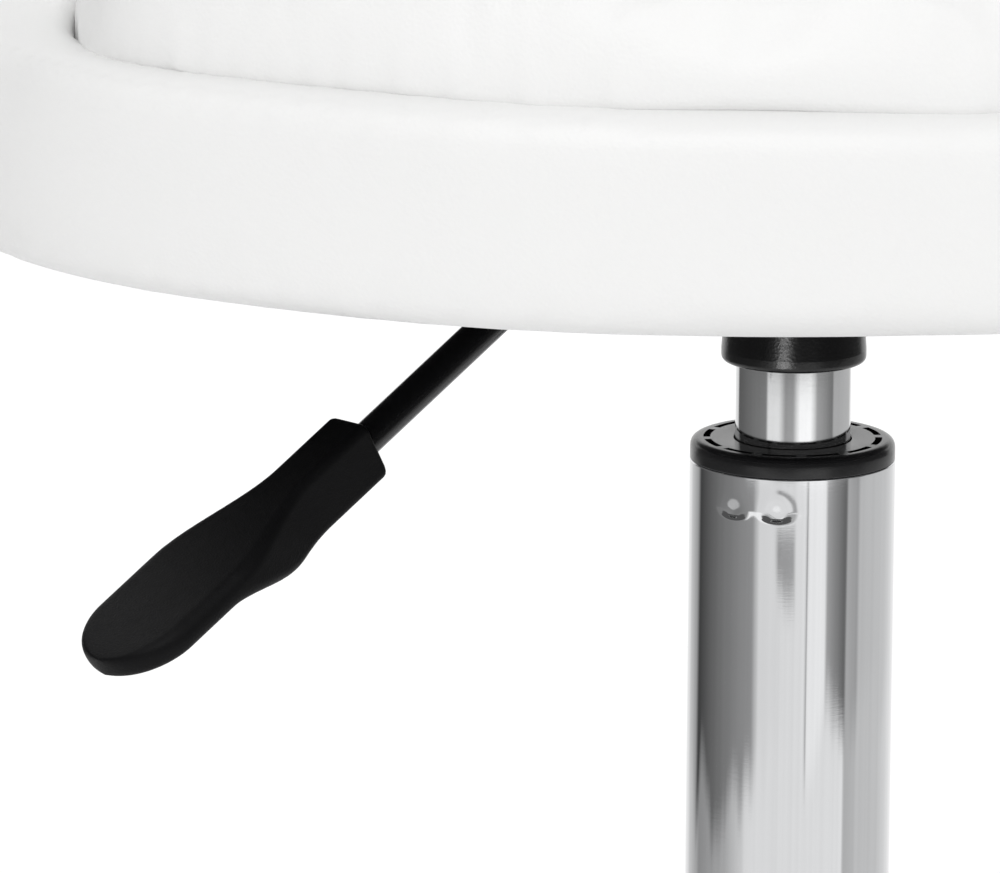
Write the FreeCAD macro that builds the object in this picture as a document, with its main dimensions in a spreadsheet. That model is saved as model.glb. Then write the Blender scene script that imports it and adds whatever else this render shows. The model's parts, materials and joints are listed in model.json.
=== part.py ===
import FreeCAD, Part
import math
import os
from types import SimpleNamespace

import Sketcher
from FreeCAD import Placement, Rotation, Vector

# Salon stool: an upholstered tub seat on a gas lift, with a five-star base on twin-wheel castors.
# Millimetres, +Z up. The origin is on the floor under the column, and the seat faces -Y.

doc = FreeCAD.newDocument("salon_stool")

driving_sizes = {
    # castors
    "wheel_radius": 25.0,
    "wheel_width": 14.5,
    "wheel_edge": 2.0,
    "wheel_dish": 2.5,
    "wheel_boss_radius": 8.0,
    "wheel_rim": 6.0,
    "wheel_gap": 1.0,
    "axle_radius": 3.0,
    "axle_fit": 0.05,
    "caster_trail": 18.0,
    "caster_turn": 34.0,
    "hood_web": 15.0,
    "hood_web_margin": 9.0,
    "hood_wall": 2.2,
    "hood_gap": 1.2,
    "hood_arc": 165.0,
    "hood_collar_radius": 11.0,
    "hood_collar_height": 3.6,
    "stem_radius": 5.0,
    "stem_fit": 0.05,
    "stem_depth": 26.0,
    "stem_flange_radius": 8.0,
    "stem_flange": 2.0,
    "stem_gap": 0.3,
    # five-star base
    "base_radius": 220.0,
    "boss_radius": 12.0,
    "boss_height": 25.0,
    "boss_round": 3.0,
    "leg_wall": 2.5,
    "leg_root_width": 30.0,
    "leg_root_height": 34.0,
    "leg_root_drop": 10.0,
    "leg_tip_width": 21.0,
    "leg_tip_height": 17.0,
    "leg_tip_drop": 1.5,
    "leg_round": 6.0,
    "hub_radius": 32.0,
    "hub_height": 66.0,
    "hub_rise": 3.0,
    "hub_chamfer": 3.0,
    # column
    "column_diameter": 50.0,
    "column_wall": 1.8,
    "column_length": 259.0,
    "column_floor": 2.5,
    "column_recess": 4.0,
    "column_taper": 0.5,
    "dimple_diameter": 7.0,
    "dimple_depth": 0.9,
    "dimple_drop": 10.0,
    "dimple_turn": 248.4,
    "dimple_pitch": 26.2,
    "cap_diameter": 49.4,
    "cap_height": 5.0,
    "cap_round": 2.6,
    "cap_bore_gap": 0.3,
    "slot_inner_radius": 20.0,
    "slot_outer_radius": 21.7,
    "slot_depth": 3.0,
    "slot_angle": 23.0,
    "slot_turn": 21.0,
    "bush_length": 80.0,
    "bush_fit": 0.05,
    "bush_running_fit": 0.1,
    # swivel bearing and piston rod
    "race_radius": 14.0,
    "race_thickness": 1.5,
    "ball_radius": 2.0,
    "ball_circle_radius": 9.5,
    "ball_gap": 0.05,
    "rod_radius": 5.0,
    "rod_journal_radius": 4.0,
    "rod_journal_fit": 0.1,
    "rod_end": 1.5,
    "clip_groove_radius": 3.0,
    "clip_radius": 7.0,
    "clip_thickness": 1.3,
    "clip_gap": 0.3,
    "clip_opening": 60.0,
    "bumper_radius": 10.0,
    "bumper_height": 8.0,
    "bumper_gap": 0.3,
    # gas cylinder
    "cylinder_diameter": 28.0,
    "cylinder_wall": 1.75,
    "cylinder_head": 10.0,
    "cylinder_exposed": 19.3,
    "cylinder_taper": 0.7,
    "cylinder_stub": 4.0,
    "seal_length": 20.0,
    "seal_fit": 0.05,
    "lift_travel": 140.0,
    "piston_length": 16.0,
    "piston_margin": 3.0,
    "piston_fit": 0.05,
    "button_radius": 4.0,
    "button_fit": 0.05,
    "button_length": 19.0,
    "button_gap": 0.3,
    # mechanism under the seat
    "socket_radius": 17.1,
    "socket_height": 18.7,
    "collar_radius": 17.6,
    "collar_height": 3.0,
    "collar_flare": 10.0,
    "collar_waist": 0.25,
    "collar_round": 2.1,
    "socket_neck_radius": 15.5,
    "bracket_width": 44.0,
    "bracket_wall": 2.5,
    "bracket_floor": 3.0,
    "bracket_height": 24.2,
    "bracket_rear": 38.0,
    "bracket_front": 58.0,
    "plate_margin": 12.5,
    "plate_thickness": 3.0,
    "plate_corner": 12.0,
    "bolt_spacing": 125.0,
    "bolt_radius": 3.0,
    "bolt_clearance": 0.2,
    "bolt_head_radius": 5.5,
    "bolt_head_height": 3.6,
    "washer_radius": 6.5,
    "washer_thickness": 1.2,
    "nut_barrel_radius": 4.0,
    "nut_flange_radius": 9.0,
    "nut_flange": 1.2,
    # lever
    "lever_azimuth": 225.0,
    "lever_radius": 4.0,
    "lever_height": 12.5,
    "lever_tail": 6.0,
    "lever_straight": 75.0,
    "lever_bend": 25.0,
    "lever_slope": 29.3,
    "lever_reach": 165.0,
    "pivot_reach": 34.0,
    "pivot_radius": 2.0,
    "pivot_fit": 0.05,
    "pivot_head_radius": 3.4,
    "pivot_head": 1.5,
    "handle_start": 141.75,
    "handle_length": 89.5,
    "socket_end_width": 12.75,
    "socket_end_depth": 15.4,
    "socket_end_length": 20.6,
    "handle_shoulder": 35.0,
    "paddle_width": 31.0,
    "paddle_thickness": 6.95,
    "under_start": 32.1,
    "under_run": 27.5,
    "tip_thickness": 5.6,
    "handle_corner": 1.8,
    # seat
    "seat_half_width": 204.0,
    "seat_front": 198.0,
    "seat_rear": 205.0,
    "seat_front_radius": 300.0,
    "seat_corner_radius": 120.0,
    "seat_flare": 3.0,
    "seat_under_round": 13.0,
    "lip_height": 51.0,
    "back_height": 233.0,
    "arm_start": 108.0,
    "arm_slope": 58.0,
    "arm_hollow_radius": 70.0,
    "arm_crest_radius": 120.0,
    "rim_outer_round": 10.0,
    "rim_inner_round": 7.0,
    "side_wall": 32.0,
    "lip_wall": 20.0,
    "back_wall": 36.0,
    "well_front_radius": 270.0,
    "well_corner_radius": 60.0,
    "well_floor": 31.0,
    "well_flare": 4.5,
    "board_thickness": 14.0,
    "board_inset": 20.0,
    "cover_thickness": 0.8,
    "cover_inset": 17.5,
    "frame_thickness": 6.0,
    "frame_front": 66.0,
    "frame_cover": 18.0,
    "cushion_thickness": 55.0,
    "cushion_gap": 0.8,
    "cushion_seat_gap": 0.3,
    "cushion_overhang": 14.5,
    "cushion_draw_in": 5.0,
    "cushion_edge_round": 22.0,
    "cushion_crown_inset": 40.0,
}

# Counts of what repeats
leg_count = 5
slot_count = 12
ball_count = 12
bolt_signs = [(1, 1), (-1, 1), (-1, -1), (1, -1)]
full_turn = 360.0

sheet = doc.addObject("Spreadsheet::Sheet", "dims")
for row, (alias, number) in enumerate(driving_sizes.items(), start=1):
    sheet.set("A%d" % row, alias)
    sheet.set("B%d" % row, str(number))
    sheet.setAlias("B%d" % row, alias)
doc.recompute()


class Size:
    # A length together with the expression that ties it to the sheet

    def __init__(self, value, text):
        self.value = float(value)
        self.text = text

    def __add__(self, other):
        other = as_size(other)
        return Size(self.value + other.value, "(%s + %s)" % (self.text, other.text))

    def __sub__(self, other):
        other = as_size(other)
        return Size(self.value - other.value, "(%s - %s)" % (self.text, other.text))

    def __mul__(self, factor):
        return Size(self.value * factor, "(%s * %r)" % (self.text, factor))

    def __truediv__(self, divisor):
        return Size(self.value / divisor, "(%s / %r)" % (self.text, divisor))

    def __neg__(self):
        return Size(-self.value, "(-%s)" % self.text)


def as_size(item):
    if isinstance(item, Size):
        return item
    return Size(item, repr(float(item)))


d = SimpleNamespace(**{alias: Size(sheet.get(alias), "dims." + alias) for alias in driving_sizes})
zero = Size(0.0, "0.0")
through_margin = 1.0
touch = 1e-4

# Heights, stacked from the floor up
wheel_top = d.wheel_radius * 2
hood_top = wheel_top + d.hood_gap + d.hood_wall + d.hood_collar_height
stem_bottom = hood_top - d.stem_depth
flange_bottom = hood_top + d.stem_gap
boss_bottom = flange_bottom + d.stem_flange
boss_top = boss_bottom + d.boss_height
hub_bottom = boss_bottom + d.hub_rise
hub_top = hub_bottom + d.hub_height
column_bottom = hub_bottom + d.column_recess
column_top = column_bottom + d.column_length
race_bottom = column_bottom + d.column_floor
ball_centre = race_bottom + d.race_thickness + d.ball_radius
upper_race_bottom = ball_centre + d.ball_radius + d.ball_gap
rod_shoulder = upper_race_bottom + d.race_thickness
bumper_top = rod_shoulder + d.bumper_height
cylinder_bottom = bumper_top + d.bumper_gap
piston_bottom = cylinder_bottom + d.seal_length + d.lift_travel + d.piston_margin
piston_top = piston_bottom + d.piston_length
cap_top = column_top + d.cap_height
socket_bottom = cap_top + d.cylinder_exposed
bracket_bottom = socket_bottom + d.socket_height
bracket_floor_top = bracket_bottom + d.bracket_floor
cylinder_top = bracket_floor_top + d.cylinder_stub
lever_axis = bracket_floor_top + d.lever_height
plate_bottom = bracket_bottom + d.bracket_height
plate_top = plate_bottom + d.plate_thickness
seat_bottom = plate_top + d.cover_thickness
board_top = seat_bottom + d.board_thickness
well_bottom = seat_bottom + d.well_floor
lip_top = seat_bottom + d.lip_height
back_top = lip_top + d.back_height

# Radii worked out from the diameters
column_radius = d.column_diameter / 2
column_inner = column_radius - d.column_wall
cylinder_radius = d.cylinder_diameter / 2
cylinder_inner = cylinder_radius - d.cylinder_wall
journal_hole = d.rod_journal_radius + d.rod_journal_fit

# Places of the legs, the lever and the bolts, with the first leg straight back
first_leg_turn = 90.0
lever_place = Placement(Vector(0, 0, 0), Rotation(Vector(0, 0, 1), d.lever_azimuth.value))
bolt_reach = d.bolt_spacing.value / 2
nodes = []


def leg_place(index):
    angle = first_leg_turn + index * full_turn / leg_count
    return Placement(Vector(0, 0, 0), Rotation(Vector(0, 0, 1), angle))


def caster_place(index):
    # Each castor stands under its leg's boss, turned a little from the leg's line
    turn = Rotation(Vector(0, 0, 1), d.caster_turn.value * (index - leg_count // 2))
    return leg_place(index) * Placement(Vector(d.base_radius.value, 0, 0), turn)


def keep(label, item, place=None):
    # Marks an object as a piece of the stool, under the name of its file
    item.Label = label
    if place is not None:
        item.Placement = place
    nodes.append(item)
    return item


def new_sketch(body, name, role, offset=None):
    sketch = body.newObject("Sketcher::SketchObject", name)
    plane = next(part for part in body.Origin.OriginFeatures if part.Role == role)
    sketch.AttachmentSupport = [(plane, "")]
    sketch.MapMode = "FlatFace"
    if offset is not None:
        sketch.setExpression("AttachmentOffset.Base.z", offset.text)
    return sketch


def tie(sketch, constraint, text):
    sketch.setExpression("Constraints[%d]" % sketch.addConstraint(constraint), text)


def pin_point(sketch, shape, end, across, up):
    # Holds one end of a sketch element at its distances from the sketch's origin
    for kind, amount, axis in (("DistanceX", across, -2), ("DistanceY", up, -1)):
        if amount is zero:
            sketch.addConstraint(Sketcher.Constraint("PointOnObject", shape, end, axis))
        else:
            tie(sketch, Sketcher.Constraint(kind, -1, 1, shape, end, amount.value), amount.text)


def polygon(sketch, corners):
    spots = [Vector(across.value, up.value, 0) for across, up in corners]
    first = sketch.GeometryCount
    total = len(spots)
    for index in range(total):
        sketch.addGeometry(Part.LineSegment(spots[index], spots[(index + 1) % total]), False)
    for index in range(total):
        follower = first + (index + 1) % total
        sketch.addConstraint(Sketcher.Constraint("Coincident", first + index, 2, follower, 1))
    for index, (across, up) in enumerate(corners):
        pin_point(sketch, first + index, 1, across, up)


def circle(sketch, across, up, radius):
    centre = Vector(across.value, up.value, 0)
    shape = sketch.addGeometry(Part.Circle(centre, Vector(0, 0, 1), radius.value), False)
    pin_point(sketch, shape, 3, across, up)
    tie(sketch, Sketcher.Constraint("Radius", shape, radius.value), radius.text)


def pad(body, name, sketch, length, symmetric=False):
    feature = body.newObject("PartDesign::Pad", name)
    feature.Profile = sketch
    feature.setExpression("Length", length.text)
    if symmetric:
        feature.SideType = "Symmetric"
    return feature


def drill(body, name, sketch, depth=None):
    # A cut along the sketch's normal: right through both ways, or to a depth below the sketch
    feature = body.newObject("PartDesign::Pocket", name)
    feature.Profile = sketch
    if depth is None:
        feature.Type = "ThroughAll"
        feature.SideType = "Symmetric"
    else:
        feature.setExpression("Length", depth.text)
    return feature


def turned(label, profile):
    # A body of revolution about the vertical axis, from corners given as radius and height
    body = doc.addObject("PartDesign::Body", label)
    sketch = new_sketch(body, label + "_profile", "XZ_Plane")
    polygon(sketch, profile)
    feature = body.newObject("PartDesign::Revolution", label + "_turn")
    feature.Profile = sketch
    feature.ReferenceAxis = (sketch, ["V_Axis"])
    feature.Angle = full_turn
    return body


def ring(label, inner, outer, bottom, top):
    return turned(label, [(inner, bottom), (outer, bottom), (outer, top), (inner, top)])


def round_over(body, name, radius, wanted):
    # Rounds the edges of the body's last feature that the test picks
    doc.recompute()
    base = body.Tip
    edges = ["Edge%d" % (i + 1) for i, edge in enumerate(base.Shape.Edges) if wanted(edge)]
    feature = body.newObject("PartDesign::Fillet", name)
    feature.Base = (base, edges)
    feature.setExpression("Radius", radius.text)
    return feature


def is_circle(edge, radius, height):
    box = edge.BoundBox
    level = abs(box.ZMin - height.value) < touch and abs(box.ZMax - height.value) < touch
    return level and abs(box.XMax - radius.value) < touch


def cut_checked(shape, tool, name):
    result = shape.cut(tool)
    if result.Volume >= shape.Volume:
        raise ValueError("nothing was cut from " + name)
    return result


def group(label, members):
    # Equal loose pieces that share one node, each a solid of its own
    bundle = doc.addObject("Part::Compound", label)
    bundle.Links = members
    return keep(label, bundle)


# Base hub, with a bore that follows the column's taper

column_foot_radius = column_radius - d.column_taper


def make_hub():
    keep("base_hub", turned("base_hub", [
        (column_foot_radius, hub_bottom),
        (d.hub_radius - d.hub_chamfer, hub_bottom),
        (d.hub_radius, hub_bottom + d.hub_chamfer),
        (d.hub_radius, hub_top - d.hub_chamfer),
        (d.hub_radius - d.hub_chamfer, hub_top),
        (column_radius, hub_top),
        (column_foot_radius, column_bottom),
    ]))


# Legs: pressed channels, open below, that end in a boss for the castor's stem

leg_root_reach = d.hub_radius.value / 2


def leg_section(reach, width, bottom, top, corner):
    # A channel's outline square to the leg, with arcs at its two upper corners
    half = width / 2
    bow = corner * (1 - math.sqrt(0.5))
    low_left, low_right = Vector(reach, -half, bottom), Vector(reach, half, bottom)
    right = [Vector(reach, half, top - corner), Vector(reach, half - bow, top - bow),
             Vector(reach, half - corner, top)]
    left = [Vector(spot.x, -spot.y, spot.z) for spot in reversed(right)]
    return Part.Wire([
        Part.makeLine(low_left, low_right),
        Part.makeLine(low_right, right[0]),
        Part.Arc(*right).toShape(),
        Part.makeLine(right[2], left[0]),
        Part.Arc(*left).toShape(),
        Part.makeLine(left[2], low_left),
    ])


def leg_loft(inset, lower):
    # The leg's tapered run from inside the hub to the castor, drawn in by a wall
    root_top = hub_top.value - d.leg_root_drop.value
    tip_top = boss_top.value - d.leg_tip_drop.value
    corner = d.leg_round.value - inset
    ends = [(leg_root_reach, d.leg_root_width.value, d.leg_root_height.value, root_top),
            (d.base_radius.value, d.leg_tip_width.value, d.leg_tip_height.value, tip_top)]
    wires = [leg_section(reach, width - 2 * inset, top - height - lower, top - inset, corner)
             for reach, width, height, top in ends]
    return Part.makeLoft(wires, True, True)


def make_leg(index):
    label = "base_leg_%d" % (index + 1)
    hollow = leg_loft(d.leg_wall.value, through_margin)
    arm = cut_checked(leg_loft(0.0, 0.0), hollow, label + " channel")
    foot = Vector(d.base_radius.value, 0, boss_bottom.value)
    boss = Part.makeCylinder(d.boss_radius.value, d.boss_height.value, foot)
    crest = [edge for edge in boss.Edges if edge.BoundBox.ZMin > boss_top.value - touch]
    boss = boss.makeFillet(d.boss_round.value, crest)
    hub_core = Part.makeCylinder(d.hub_radius.value, hub_top.value)
    stem_core = Part.makeCylinder(d.stem_radius.value, d.boss_height.value - d.boss_round.value, foot)
    leg = cut_checked(arm.fuse(boss), hub_core, label + " hub seat")
    piece = doc.addObject("Part::Feature", label)
    piece.Shape = cut_checked(leg, stem_core, label + " stem hole").removeSplitter()
    keep(label, piece, leg_place(index))


# Castors: stem, hood, axle and two wheels, all in a frame with the stem on the vertical axis

wheel_inner_face = d.hood_web / 2 + d.wheel_gap
wheel_outer_face = wheel_inner_face + d.wheel_width


def make_stem(index):
    label = "caster_stem_%d" % (index + 1)
    lower = d.stem_radius - d.stem_fit
    body = turned(label, [
        (zero, stem_bottom),
        (lower, stem_bottom),
        (lower, flange_bottom),
        (d.stem_flange_radius, flange_bottom),
        (d.stem_flange_radius, boss_bottom),
        (d.stem_radius, boss_bottom),
        (d.stem_radius, boss_top - d.boss_round),
        (zero, boss_top - d.boss_round),
    ])
    keep(label, body, caster_place(index))


def make_hood(index):
    label = "caster_hood_%d" % (index + 1)
    body = doc.addObject("PartDesign::Body", label)
    margin = d.hood_web_margin
    fender_inner = d.wheel_radius + d.hood_gap
    fender_outer = fender_inner + d.hood_wall
    web = new_sketch(body, label + "_web_outline", "XZ_Plane")
    collar_bottom = hood_top - d.hood_collar_height
    polygon(web, [
        (-margin, stem_bottom - d.hood_wall),
        (d.caster_trail - margin, d.wheel_radius - margin),
        (d.caster_trail + margin, d.wheel_radius - margin),
        (d.caster_trail + margin, d.wheel_radius + margin),
        (margin, collar_bottom),
        (margin, hood_top),
        (-margin, hood_top),
    ])
    pad(body, label + "_web", web, d.hood_web, symmetric=True)
    fender = new_sketch(body, label + "_fender_outline", "XY_Plane", d.wheel_radius)
    near = d.caster_trail - fender_outer
    far = d.caster_trail - fender_inner
    half = wheel_outer_face + d.wheel_gap
    polygon(fender, [(near, -half), (far, -half), (far, half), (near, half)])
    ends = [Vector(d.caster_trail.value, reach.value, 0) for reach in (-half, half)]
    axis = fender.addGeometry(Part.LineSegment(*ends), True)
    pin_point(fender, axis, 1, d.caster_trail, -half)
    pin_point(fender, axis, 2, d.caster_trail, half)
    shade = body.newObject("PartDesign::Revolution", label + "_fender")
    shade.Profile = fender
    shade.ReferenceAxis = (fender, ["Axis0"])
    shade.setExpression("Angle", d.hood_arc.text)
    collar = new_sketch(body, label + "_collar_circle", "XY_Plane", collar_bottom)
    circle(collar, zero, zero, d.hood_collar_radius)
    pad(body, label + "_collar", collar, d.hood_collar_height)
    bore = new_sketch(body, label + "_stem_circle", "XY_Plane", hood_top)
    circle(bore, zero, zero, d.stem_radius)
    drill(body, label + "_stem_bore", bore, d.stem_depth + d.stem_gap)
    hole = new_sketch(body, label + "_axle_circle", "XZ_Plane")
    circle(hole, d.caster_trail, d.wheel_radius, d.axle_radius)
    drill(body, label + "_axle_hole", hole)
    keep(label, body, caster_place(index))


def make_axle(index):
    label = "caster_axle_%d" % (index + 1)
    axle = doc.addObject("Part::Cylinder", label)
    axle.setExpression("Radius", d.axle_radius.text)
    axle.setExpression("Height", (wheel_outer_face * 2 - d.wheel_dish * 2).text)
    start = Vector(d.caster_trail.value, d.wheel_dish.value - wheel_outer_face.value, d.wheel_radius.value)
    across = Placement(start, Rotation(Vector(1, 0, 0), -90))
    keep(label, axle, caster_place(index) * across)


def make_wheel(index, side, sign):
    label = "caster_wheel_%s_%d" % (side, index + 1)
    bore = d.axle_radius + d.axle_fit
    rim = d.wheel_radius - d.wheel_rim
    dish = d.wheel_width - d.wheel_dish
    body = turned(label, [
        (bore, zero),
        (d.wheel_radius - d.wheel_edge, zero),
        (d.wheel_radius, d.wheel_edge),
        (d.wheel_radius, d.wheel_width - d.wheel_edge),
        (d.wheel_radius - d.wheel_edge, d.wheel_width),
        (rim, d.wheel_width),
        (rim - d.wheel_dish, dish),
        (d.wheel_boss_radius + d.wheel_dish, dish),
        (d.wheel_boss_radius, d.wheel_width),
        (bore, d.wheel_width),
    ])
    hub = Vector(d.caster_trail.value, sign * wheel_inner_face.value, d.wheel_radius.value)
    keep(label, body, caster_place(index) * Placement(hub, Rotation(Vector(1, 0, 0), -90 * sign)))


# Column tube with two pairs of punched dimples, and what sits in its mouth

def make_column():
    tube = turned("column_blank", [
        (journal_hole, column_bottom),
        (column_foot_radius, column_bottom),
        (column_radius, hub_top),
        (column_radius, column_top),
        (column_inner, column_top),
        (column_inner, race_bottom),
        (journal_hole, race_bottom),
    ])
    half = d.dimple_diameter.value / 2
    depth = d.dimple_depth.value
    punch_radius = (half ** 2 + depth ** 2) / (2 * depth)
    reach = column_radius.value - depth + punch_radius
    height = column_top.value - d.dimple_drop.value
    punches = []
    for start in (0, full_turn / 2):
        for step in (-0.5, 0.5):
            angle = math.radians(d.dimple_turn.value + start + step * d.dimple_pitch.value)
            punch = doc.addObject("Part::Sphere", "dimple_punch")
            punch.Radius = punch_radius
            punch.Placement.Base = Vector(reach * math.cos(angle), reach * math.sin(angle), height)
            punches.append(punch)
    cluster = doc.addObject("Part::Compound", "dimple_punches")
    cluster.Links = punches
    column = doc.addObject("Part::Cut", "column_tube")
    column.Base = tube
    column.Tool = cluster
    keep("column_tube", column)


def make_bush():
    inner = cylinder_radius + d.bush_running_fit
    outer = column_inner - d.bush_fit
    keep("guide_bush", ring("guide_bush", inner, outer, column_top - d.bush_length, column_top))


def make_ring_cap():
    outer = d.cap_diameter / 2
    body = ring("ring_cap", cylinder_radius + d.cap_bore_gap, outer, column_top, cap_top)
    round_over(body, "ring_cap_round", d.cap_round, lambda edge: is_circle(edge, outer, cap_top))
    slot = new_sketch(body, "ring_cap_slot_outline", "XZ_Plane")
    floor = cap_top - d.slot_depth
    over = cap_top + through_margin
    polygon(slot, [(d.slot_inner_radius, floor), (d.slot_outer_radius, floor),
                   (d.slot_outer_radius, over), (d.slot_inner_radius, over)])
    groove = body.newObject("PartDesign::Groove", "ring_cap_slot")
    groove.Profile = slot
    groove.ReferenceAxis = (slot, ["V_Axis"])
    groove.setExpression("Angle", d.slot_angle.text)
    groove.Midplane = True
    pattern = body.newObject("PartDesign::PolarPattern", "ring_cap_slots")
    pattern.Originals = [groove]
    pattern.Axis = (slot, ["V_Axis"])
    pattern.Angle = full_turn
    pattern.Occurrences = slot_count
    body.Tip = pattern
    keep("ring_cap", body, Placement(Vector(0, 0, 0), Rotation(Vector(0, 0, 1), d.slot_turn.value)))


# Swivel bearing at the bottom of the column

def make_bearing():
    race_top = race_bottom + d.race_thickness
    keep("lower_race", ring("lower_race", journal_hole, d.race_radius, race_bottom, race_top))
    balls = []
    for index in range(ball_count):
        angle = 2 * math.pi * index / ball_count
        ball = doc.addObject("Part::Sphere", "bearing_ball_%d" % (index + 1))
        ball.setExpression("Radius", d.ball_radius.text)
        reach = d.ball_circle_radius.value
        ball.Placement.Base = Vector(reach * math.cos(angle), reach * math.sin(angle), ball_centre.value)
        balls.append(ball)
    group("bearing_balls", balls)
    upper_race = ring("upper_race", d.rod_journal_radius, d.race_radius, upper_race_bottom, rod_shoulder)
    keep("upper_race", upper_race)


# Piston rod, held in the column's floor by a clip

clip_top = column_bottom - d.clip_gap
clip_bottom = clip_top - d.clip_thickness


def make_rod():
    rod_bottom = clip_bottom - d.rod_end
    keep("piston_rod", turned("piston_rod", [
        (zero, rod_bottom),
        (d.rod_journal_radius, rod_bottom),
        (d.rod_journal_radius, clip_bottom),
        (d.clip_groove_radius, clip_bottom),
        (d.clip_groove_radius, clip_top),
        (d.rod_journal_radius, clip_top),
        (d.rod_journal_radius, rod_shoulder),
        (d.rod_radius, rod_shoulder),
        (d.rod_radius, piston_top),
        (zero, piston_top),
    ]))
    piston_radius = cylinder_inner - d.piston_fit
    keep("piston", ring("piston", d.rod_radius, piston_radius, piston_bottom, piston_top))
    keep("bumper", ring("bumper", d.rod_radius, d.bumper_radius, rod_shoulder, bumper_top))
    clip = ring("retaining_clip", d.clip_groove_radius, d.clip_radius, clip_bottom, clip_top)
    mouth = new_sketch(clip, "retaining_clip_mouth_outline", "XZ_Plane")
    near, far = d.clip_groove_radius / 2, d.clip_radius + through_margin
    under, over = clip_bottom - through_margin, clip_top + through_margin
    polygon(mouth, [(near, under), (far, under), (far, over), (near, over)])
    gap = clip.newObject("PartDesign::Groove", "retaining_clip_mouth")
    gap.Profile = mouth
    gap.ReferenceAxis = (mouth, ["V_Axis"])
    gap.setExpression("Angle", d.clip_opening.text)
    gap.Midplane = True
    keep("retaining_clip", clip)


# Gas cylinder, whose tapered top is wedged in the seat's socket

cylinder_top_radius = cylinder_radius - d.cylinder_taper


def make_cylinder():
    valve_bore = d.button_radius + d.button_fit
    roof = cylinder_top - d.cylinder_head
    keep("gas_cylinder", turned("gas_cylinder", [
        (cylinder_inner, cylinder_bottom),
        (cylinder_radius, cylinder_bottom),
        (cylinder_radius, socket_bottom),
        (cylinder_top_radius, cylinder_top),
        (valve_bore, cylinder_top),
        (valve_bore, roof),
        (cylinder_inner, roof),
    ]))
    seal_bore = d.rod_radius + d.seal_fit
    seal_top = cylinder_bottom + d.seal_length
    keep("end_seal", ring("end_seal", seal_bore, cylinder_inner, cylinder_bottom, seal_top))
    button_top = lever_axis - d.lever_radius - d.button_gap
    button_bottom = button_top - d.button_length
    keep("release_button", ring("release_button", zero, d.button_radius, button_bottom, button_top))


def socket_bore(height):
    # The cylinder's radius at a height on its taper
    share = (height.value - socket_bottom.value) / (cylinder_top.value - socket_bottom.value)
    return cylinder_radius - d.cylinder_taper * share


def make_socket():
    step_top = socket_bottom + d.collar_height
    flare_top = socket_bottom + d.collar_flare
    body = turned("taper_socket", [
        (cylinder_radius, socket_bottom),
        (d.collar_radius, socket_bottom),
        (d.collar_radius, step_top),
        (d.socket_radius + d.collar_waist, (step_top + flare_top) / 2),
        (d.socket_radius, flare_top),
        (d.socket_radius, bracket_bottom),
        (d.socket_neck_radius, bracket_bottom),
        (d.socket_neck_radius, bracket_floor_top),
        (socket_bore(bracket_floor_top), bracket_floor_top),
    ])
    round_over(body, "taper_socket_round", d.collar_round, lambda edge: (
        is_circle(edge, d.collar_radius, socket_bottom)))
    keep("taper_socket", body)


# Height mechanism: a channel welded under a plate, with the lever's pivot pin across it

def make_bracket():
    body = doc.addObject("PartDesign::Body", "mechanism_bracket")
    section = new_sketch(body, "mechanism_bracket_section", "YZ_Plane", -d.bracket_rear)
    outer = d.bracket_width / 2
    inner = outer - d.bracket_wall
    polygon(section, [
        (-outer, bracket_bottom), (outer, bracket_bottom), (outer, plate_bottom), (inner, plate_bottom),
        (inner, bracket_floor_top), (-inner, bracket_floor_top),
        (-inner, plate_bottom), (-outer, plate_bottom),
    ])
    pad(body, "mechanism_bracket_channel", section, d.bracket_rear + d.bracket_front)
    neck = new_sketch(body, "mechanism_bracket_neck", "XY_Plane")
    circle(neck, zero, zero, d.socket_neck_radius)
    drill(body, "mechanism_bracket_neck_hole", neck)
    pivot = new_sketch(body, "mechanism_bracket_pivot", "XZ_Plane")
    circle(pivot, d.pivot_reach, lever_axis, d.pivot_radius)
    drill(body, "mechanism_bracket_pivot_hole", pivot)
    keep("mechanism_bracket", body, lever_place)


def make_plate():
    body = doc.addObject("PartDesign::Body", "mechanism_plate")
    outline_sketch = new_sketch(body, "mechanism_plate_outline", "XY_Plane", plate_bottom)
    half = d.bolt_spacing / 2 + d.plate_margin
    polygon(outline_sketch, [(-half, -half), (half, -half), (half, half), (-half, half)])
    pad(body, "mechanism_plate_sheet", outline_sketch, d.plate_thickness)
    round_over(body, "mechanism_plate_corners", d.plate_corner, lambda edge: (
        edge.BoundBox.ZLength > d.plate_thickness.value / 2))
    holes = new_sketch(body, "mechanism_plate_holes", "XY_Plane")
    reach = d.bolt_spacing / 2
    for across, along in bolt_signs:
        circle(holes, reach * across, reach * along, d.bolt_radius + d.bolt_clearance)
    drill(body, "mechanism_plate_bolt_holes", holes)
    keep("mechanism_plate", body, lever_place)


def make_pivot_pin():
    half = d.bracket_width / 2
    body = turned("pivot_pin", [
        (zero, -half),
        (d.pivot_radius, -half),
        (d.pivot_radius, half),
        (d.pivot_head_radius, half),
        (d.pivot_head_radius, half + d.pivot_head),
        (zero, half + d.pivot_head),
    ])
    spot = Vector(d.pivot_reach.value, 0, lever_axis.value)
    keep("pivot_pin", body, lever_place * Placement(spot, Rotation(Vector(1, 0, 0), 90)))


def bolt_places():
    return [lever_place * Placement(Vector(bolt_reach * across, bolt_reach * along, 0), Rotation())
            for across, along in bolt_signs]


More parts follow.
